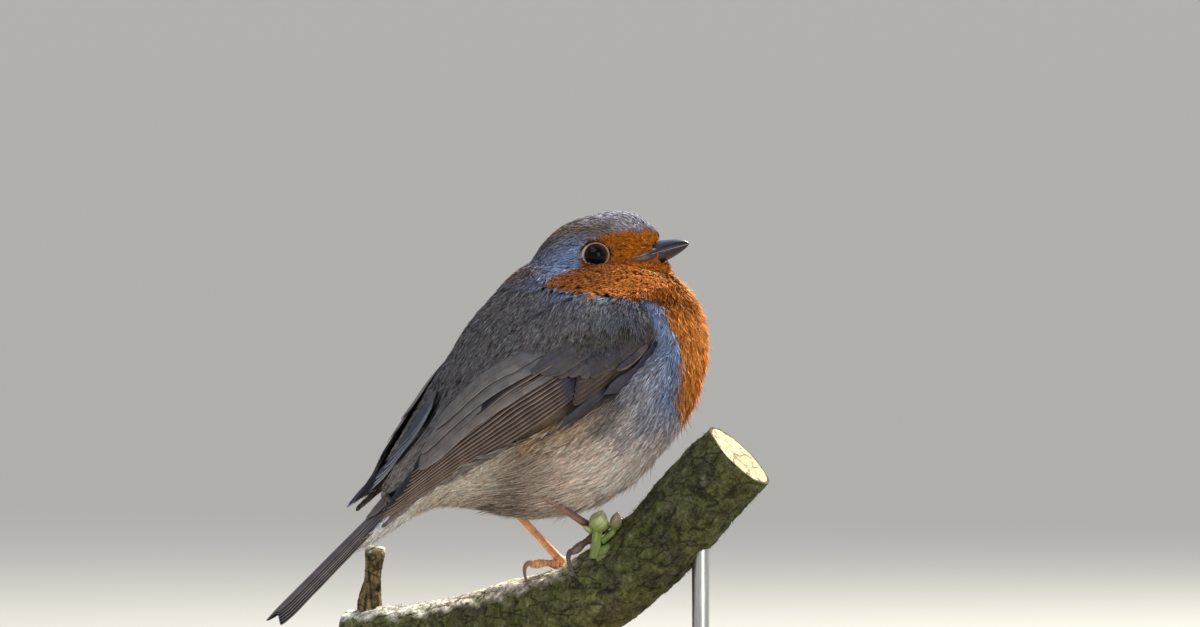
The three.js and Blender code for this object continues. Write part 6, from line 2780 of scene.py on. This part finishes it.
@dataclass(frozen=True)
class LegFinish:
    """Scaly skin that lets a little light through."""

    def build(self) -> Material:
        """Makes the material.

        Returns:
            The material.
        """
        recipe = Recipe("leg_skin", Roughness=0.42, Specular_IOR_Level=0.45, Subsurface_Weight=0.2,
                        Subsurface_Scale=0.0006, Subsurface_Radius=(1.0, 0.35, 0.2))
        where = recipe.places()
        grain = recipe.ramp(recipe.cells(where, 1500.0), 0.0, 0.12)
        recipe.bump(grain, 0.4, 0.00006)
        mottle = recipe.maths("MULTIPLY", recipe.ramp(recipe.noise(where, 700.0, 3.0), 0.3, 0.7, 0.75, 1.15),
                              recipe.ramp(grain, 0.0, 1.0, 0.8, 1.0))
        return recipe.finish(recipe.shaded(mottle))


@dataclass(frozen=True)
class BarkFinish:
    """Crumbling bark under green algae."""

    def build(self) -> Material:
        """Makes the material.

        Returns:
            The material.
        """
        recipe = Recipe("bark", Roughness=0.92, Specular_IOR_Level=0.2)
        where = recipe.places()
        coarse, fine = recipe.noise(where, 420.0, 6.0, 0.7), recipe.noise(where, 1700.0, 4.0, 0.7)
        crumb = recipe.total((coarse, 0.6), (fine, 0.4))
        recipe.bump(crumb, 1.0, 0.0006)
        shade = recipe.ramp(crumb, 0.36, 0.64, 0.35, 1.6)
        colour = recipe.shaded(shade)
        green = recipe.ramp(recipe.noise(where, 260.0, 4.0), 0.48, 0.66, 0.0, 0.3)
        colour = recipe.blend(green, colour, recipe.blend(1.0, colour, (1.0, 1.25, 0.65), "MULTIPLY"))
        sway = recipe.noise(recipe.places(shift=(0.3, 0.1, 0.2)), 380.0, 2.0)
        pushes = recipe.maths("MULTIPLY", coarse, 0.003), recipe.maths("MULTIPLY", sway, 0.0035)
        push = recipe.add("CombineXYZ", *pushes).outputs[0]
        drift = recipe.add("VectorMath", recipe.places((0.55, 1.0, 1.5), turn=(0.0, 0.7, 0.5)), push)
        cells = recipe.cells(drift.outputs[0], 230.0)
        broken = recipe.ramp(recipe.noise(where, 280.0, 2.0), 0.45, 0.54)
        crack = recipe.maths("MULTIPLY", recipe.ramp(cells, 0.085, 0.02), broken)
        crack = recipe.maths("MULTIPLY", crack, 0.75)
        return recipe.finish(recipe.blend(crack, colour, (0.016, 0.013, 0.008)))


@dataclass(frozen=True)
class BudFinish:
    """Waxy green scales."""

    def build(self) -> Material:
        """Makes the material.

        Returns:
            The material.
        """
        recipe = Recipe("bud_scale", Roughness=0.38, Specular_IOR_Level=0.5, Subsurface_Weight=0.15,
                        Subsurface_Scale=0.0008, Subsurface_Radius=(0.5, 1.0, 0.2))
        where = recipe.places((1, 1, 0.25))
        vein = recipe.noise(where, 1100.0, 3.0)
        recipe.bump(vein, 0.3, 0.0001)
        shade = recipe.ramp(vein, 0.3, 0.7, 0.72, 1.2)
        return recipe.finish(recipe.shaded(shade))


@dataclass(frozen=True)
class WalnutFinish:
    """Dark walnut under satin varnish, its grain along one side of the base."""

    light: Colour = (0.145, 0.072, 0.034)
    dark: Colour = (0.038, 0.019, 0.010)

    def build(self) -> Material:
        """Makes the material.

        Returns:
            The material.
        """
        recipe = Recipe("walnut", Roughness=0.34, Specular_IOR_Level=0.5, Coat_Weight=0.35,
                        Coat_Roughness=0.18)
        where = recipe.places((1.0, 14.0, 14.0), turn=(0.03, 0.02, 0.3))
        warp = recipe.noise(recipe.places((4.0, 30.0, 30.0)), 1.0, 3.0)
        rings = recipe.add("TexWave", where, wave_type="BANDS", bands_direction="Y")
        recipe.fed(rings, Scale=9.0, Distortion=7.0, Detail=5.0, Detail_Scale=1.8)
        pores = recipe.noise(recipe.places((25.0, 900.0, 900.0)), 1.0, 3.0, 0.65)
        tone = recipe.total((rings.outputs[1], 0.55), (warp, 0.5))
        colour = recipe.blend(recipe.ramp(tone, 0.15, 0.85), self.dark, self.light)
        colour = recipe.blend(recipe.ramp(pores, 0.52, 0.70, 0.0, 0.6), colour, self.dark)
        recipe.bump(pores, 0.15, 0.0001)
        return recipe.finish(colour)


@dataclass(frozen=True)
class SteelFinish:
    """Steel rod drawn to a fine grain along its length."""

    def build(self) -> Material:
        """Makes the material.

        Returns:
            The material.
        """
        recipe = Recipe("drawn_steel", Roughness=0.3, Metallic=1.0)
        lines = recipe.noise(recipe.places((1.0, 1.0, 0.02)), 6000.0, 2.0)
        recipe.feed(recipe.shader.inputs["Roughness"], recipe.ramp(lines, 0.3, 0.7, 0.22, 0.38))
        recipe.bump(lines, 0.1, 0.00002)
        tone = recipe.ramp(lines, 0.3, 0.7)
        return recipe.finish(recipe.blend(tone, (0.50, 0.51, 0.52), (0.62, 0.63, 0.64)))


# ---------------------------------------------------------------- studio


@dataclass
class Studio:
    """A plain pale floor that turns up into a round wall, soft lights and the camera."""

    reach: float = 5.0  # metres to the wall
    cove: float = 1.2
    wall: float = 3.4
    azimuth: float = -22.0  # degrees: where the camera looks from
    distance: float = 2.299
    aim: tuple[float, float, float] = (0.0163, -0.0022, 0.1091)
    lens: float = 300.0

    def backdrop(self) -> None:
        """Draws the floor, cove and wall out of one disc, ring by ring."""
        steps = 12
        profile = [(0.4, 0.0), (self.reach - self.cove, 0.0)]
        for i in range(1, steps + 1):
            angle = math.pi / 2 * i / steps
            out, up = math.sin(angle), 1 - math.cos(angle)
            profile.append((self.reach - self.cove + self.cove * out, self.cove * up))
        profile.append((self.reach, self.wall))
        stage = primitive("studio_floor", bpy.ops.mesh.primitive_circle_add, vertices=96,
                          radius=profile[0][0], fill_type="TRIFAN")
        bpy.ops.object.mode_set(mode="EDIT")
        bpy.ops.mesh.select_mode(type="EDGE")
        bpy.ops.mesh.select_all(action="DESELECT")
        bpy.ops.mesh.select_non_manifold(extend=False)
        for (inner, low), (outer, high) in zip(profile, profile[1:]):
            bpy.ops.mesh.extrude_region()
            bpy.ops.transform.resize(value=(outer / inner, outer / inner, 1), center_override=(0, 0, 0))
            bpy.ops.transform.translate(value=(0, 0, high - low))
        bpy.ops.object.mode_set(mode="OBJECT")
        bpy.ops.object.shade_smooth()
        recipe = Recipe("studio_paper", Roughness=0.9, Specular_IOR_Level=0.05, Emission_Strength=0.36,
                        Emission_Color=(1.0, 0.985, 0.95, 1.0))
        where = recipe.add("SeparateXYZ", recipe.places())
        far = recipe.add("VectorMath", recipe.places((1, 1, 0)), operation="LENGTH").outputs["Value"]
        height = recipe.ramp(recipe.total((far, 0.25), (where.outputs[2], 1.0)), 0.25, 1.6)
        colour = recipe.blend(height, (0.17, 0.168, 0.16), (0.20, 0.196, 0.185))
        stage.data.materials.append(recipe.finish(colour))

    def light(self, name: str, place: Sequence[float], size: float, power: float, colour: Colour) -> None:
        """Adds a square soft light that faces the bird.

        Args:
            name: Its name.
            place: Where it stands, in metres to the camera's right, away from it and up, from the aim.
            size: Its side in metres.
            power: In watts.
            colour: Its tint.
        """
        lamp = bpy.data.lights.new(name, "AREA")
        lamp.shape, lamp.size, lamp.energy, lamp.color = "SQUARE", size, power, colour
        body = linked(name, lamp)
        a = math.radians(self.azimuth)
        right, away = Vector((math.cos(a), math.sin(a), 0)), Vector((-math.sin(a), math.cos(a), 0))
        offset = right * place[0] + away * place[1] + Vector((0, 0, place[2]))
        body.location = Vector(self.aim) + offset
        body.rotation_euler = offset.to_track_quat("Z", "Y").to_euler()

    def lights(self) -> None:
        """A warm light from behind on the right, a broad cool one above the camera, a warm one low on the
        camera's right, and a pale blue world.
        """
        self.light("rim", (0.72, 0.90, 1.15), 0.4, 106.0, (1.0, 0.93, 0.80))
        self.light("sky", (-0.5, -0.9, 1.6), 1.6, 20.0, (0.72, 0.85, 1.0))
        self.light("front", (1.0, -1.5, 0.4), 1.0, 11.0, (1.0, 0.94, 0.85))
        world = bpy.data.worlds.new("studio")
        world.use_nodes = True
        world.node_tree.nodes["Background"].inputs[0].default_value = (0.84, 0.90, 1.0, 1.0)
        world.node_tree.nodes["Background"].inputs[1].default_value = 0.30
        bpy.context.scene.world = world

    def camera(self) -> None:
        """Places the camera level with the bird, a long lens away."""
        data = bpy.data.cameras.new("camera")
        data.lens, data.sensor_width, data.clip_end = self.lens, 36.0, 30.0
        body = linked("camera", data)
        a = math.radians(self.azimuth)
        back = Vector((math.sin(a), -math.cos(a), 0.0))
        body.location = Vector(self.aim) + back * self.distance
        body.rotation_euler = back.to_track_quat("Z", "Y").to_euler()
        bpy.context.scene.camera = body
        bpy.context.scene.view_settings.view_transform = "Standard"

    def build(self) -> None:
        """Sets up everything round the model."""
        self.backdrop()
        self.lights()
        self.camera()


def main() -> None:
    """Builds the model piece by piece."""
    logging.basicConfig(level=logging.INFO, format="%(name)s: %(message)s")
    Studio().build()
    skin = Skin()
    coat = Coat(skin)
    skin.dress()
    coat.build()
    for side in Side:
        Wing(side).build()
    FarFold().build()
    Tail().build()
    Bill().build()
    for side in Side:
        Eye(side).build()
    for leg in LEGS:
        leg.build()
    Perch().build()
    Stand().build()


if __name__ == "__main__":
    main()
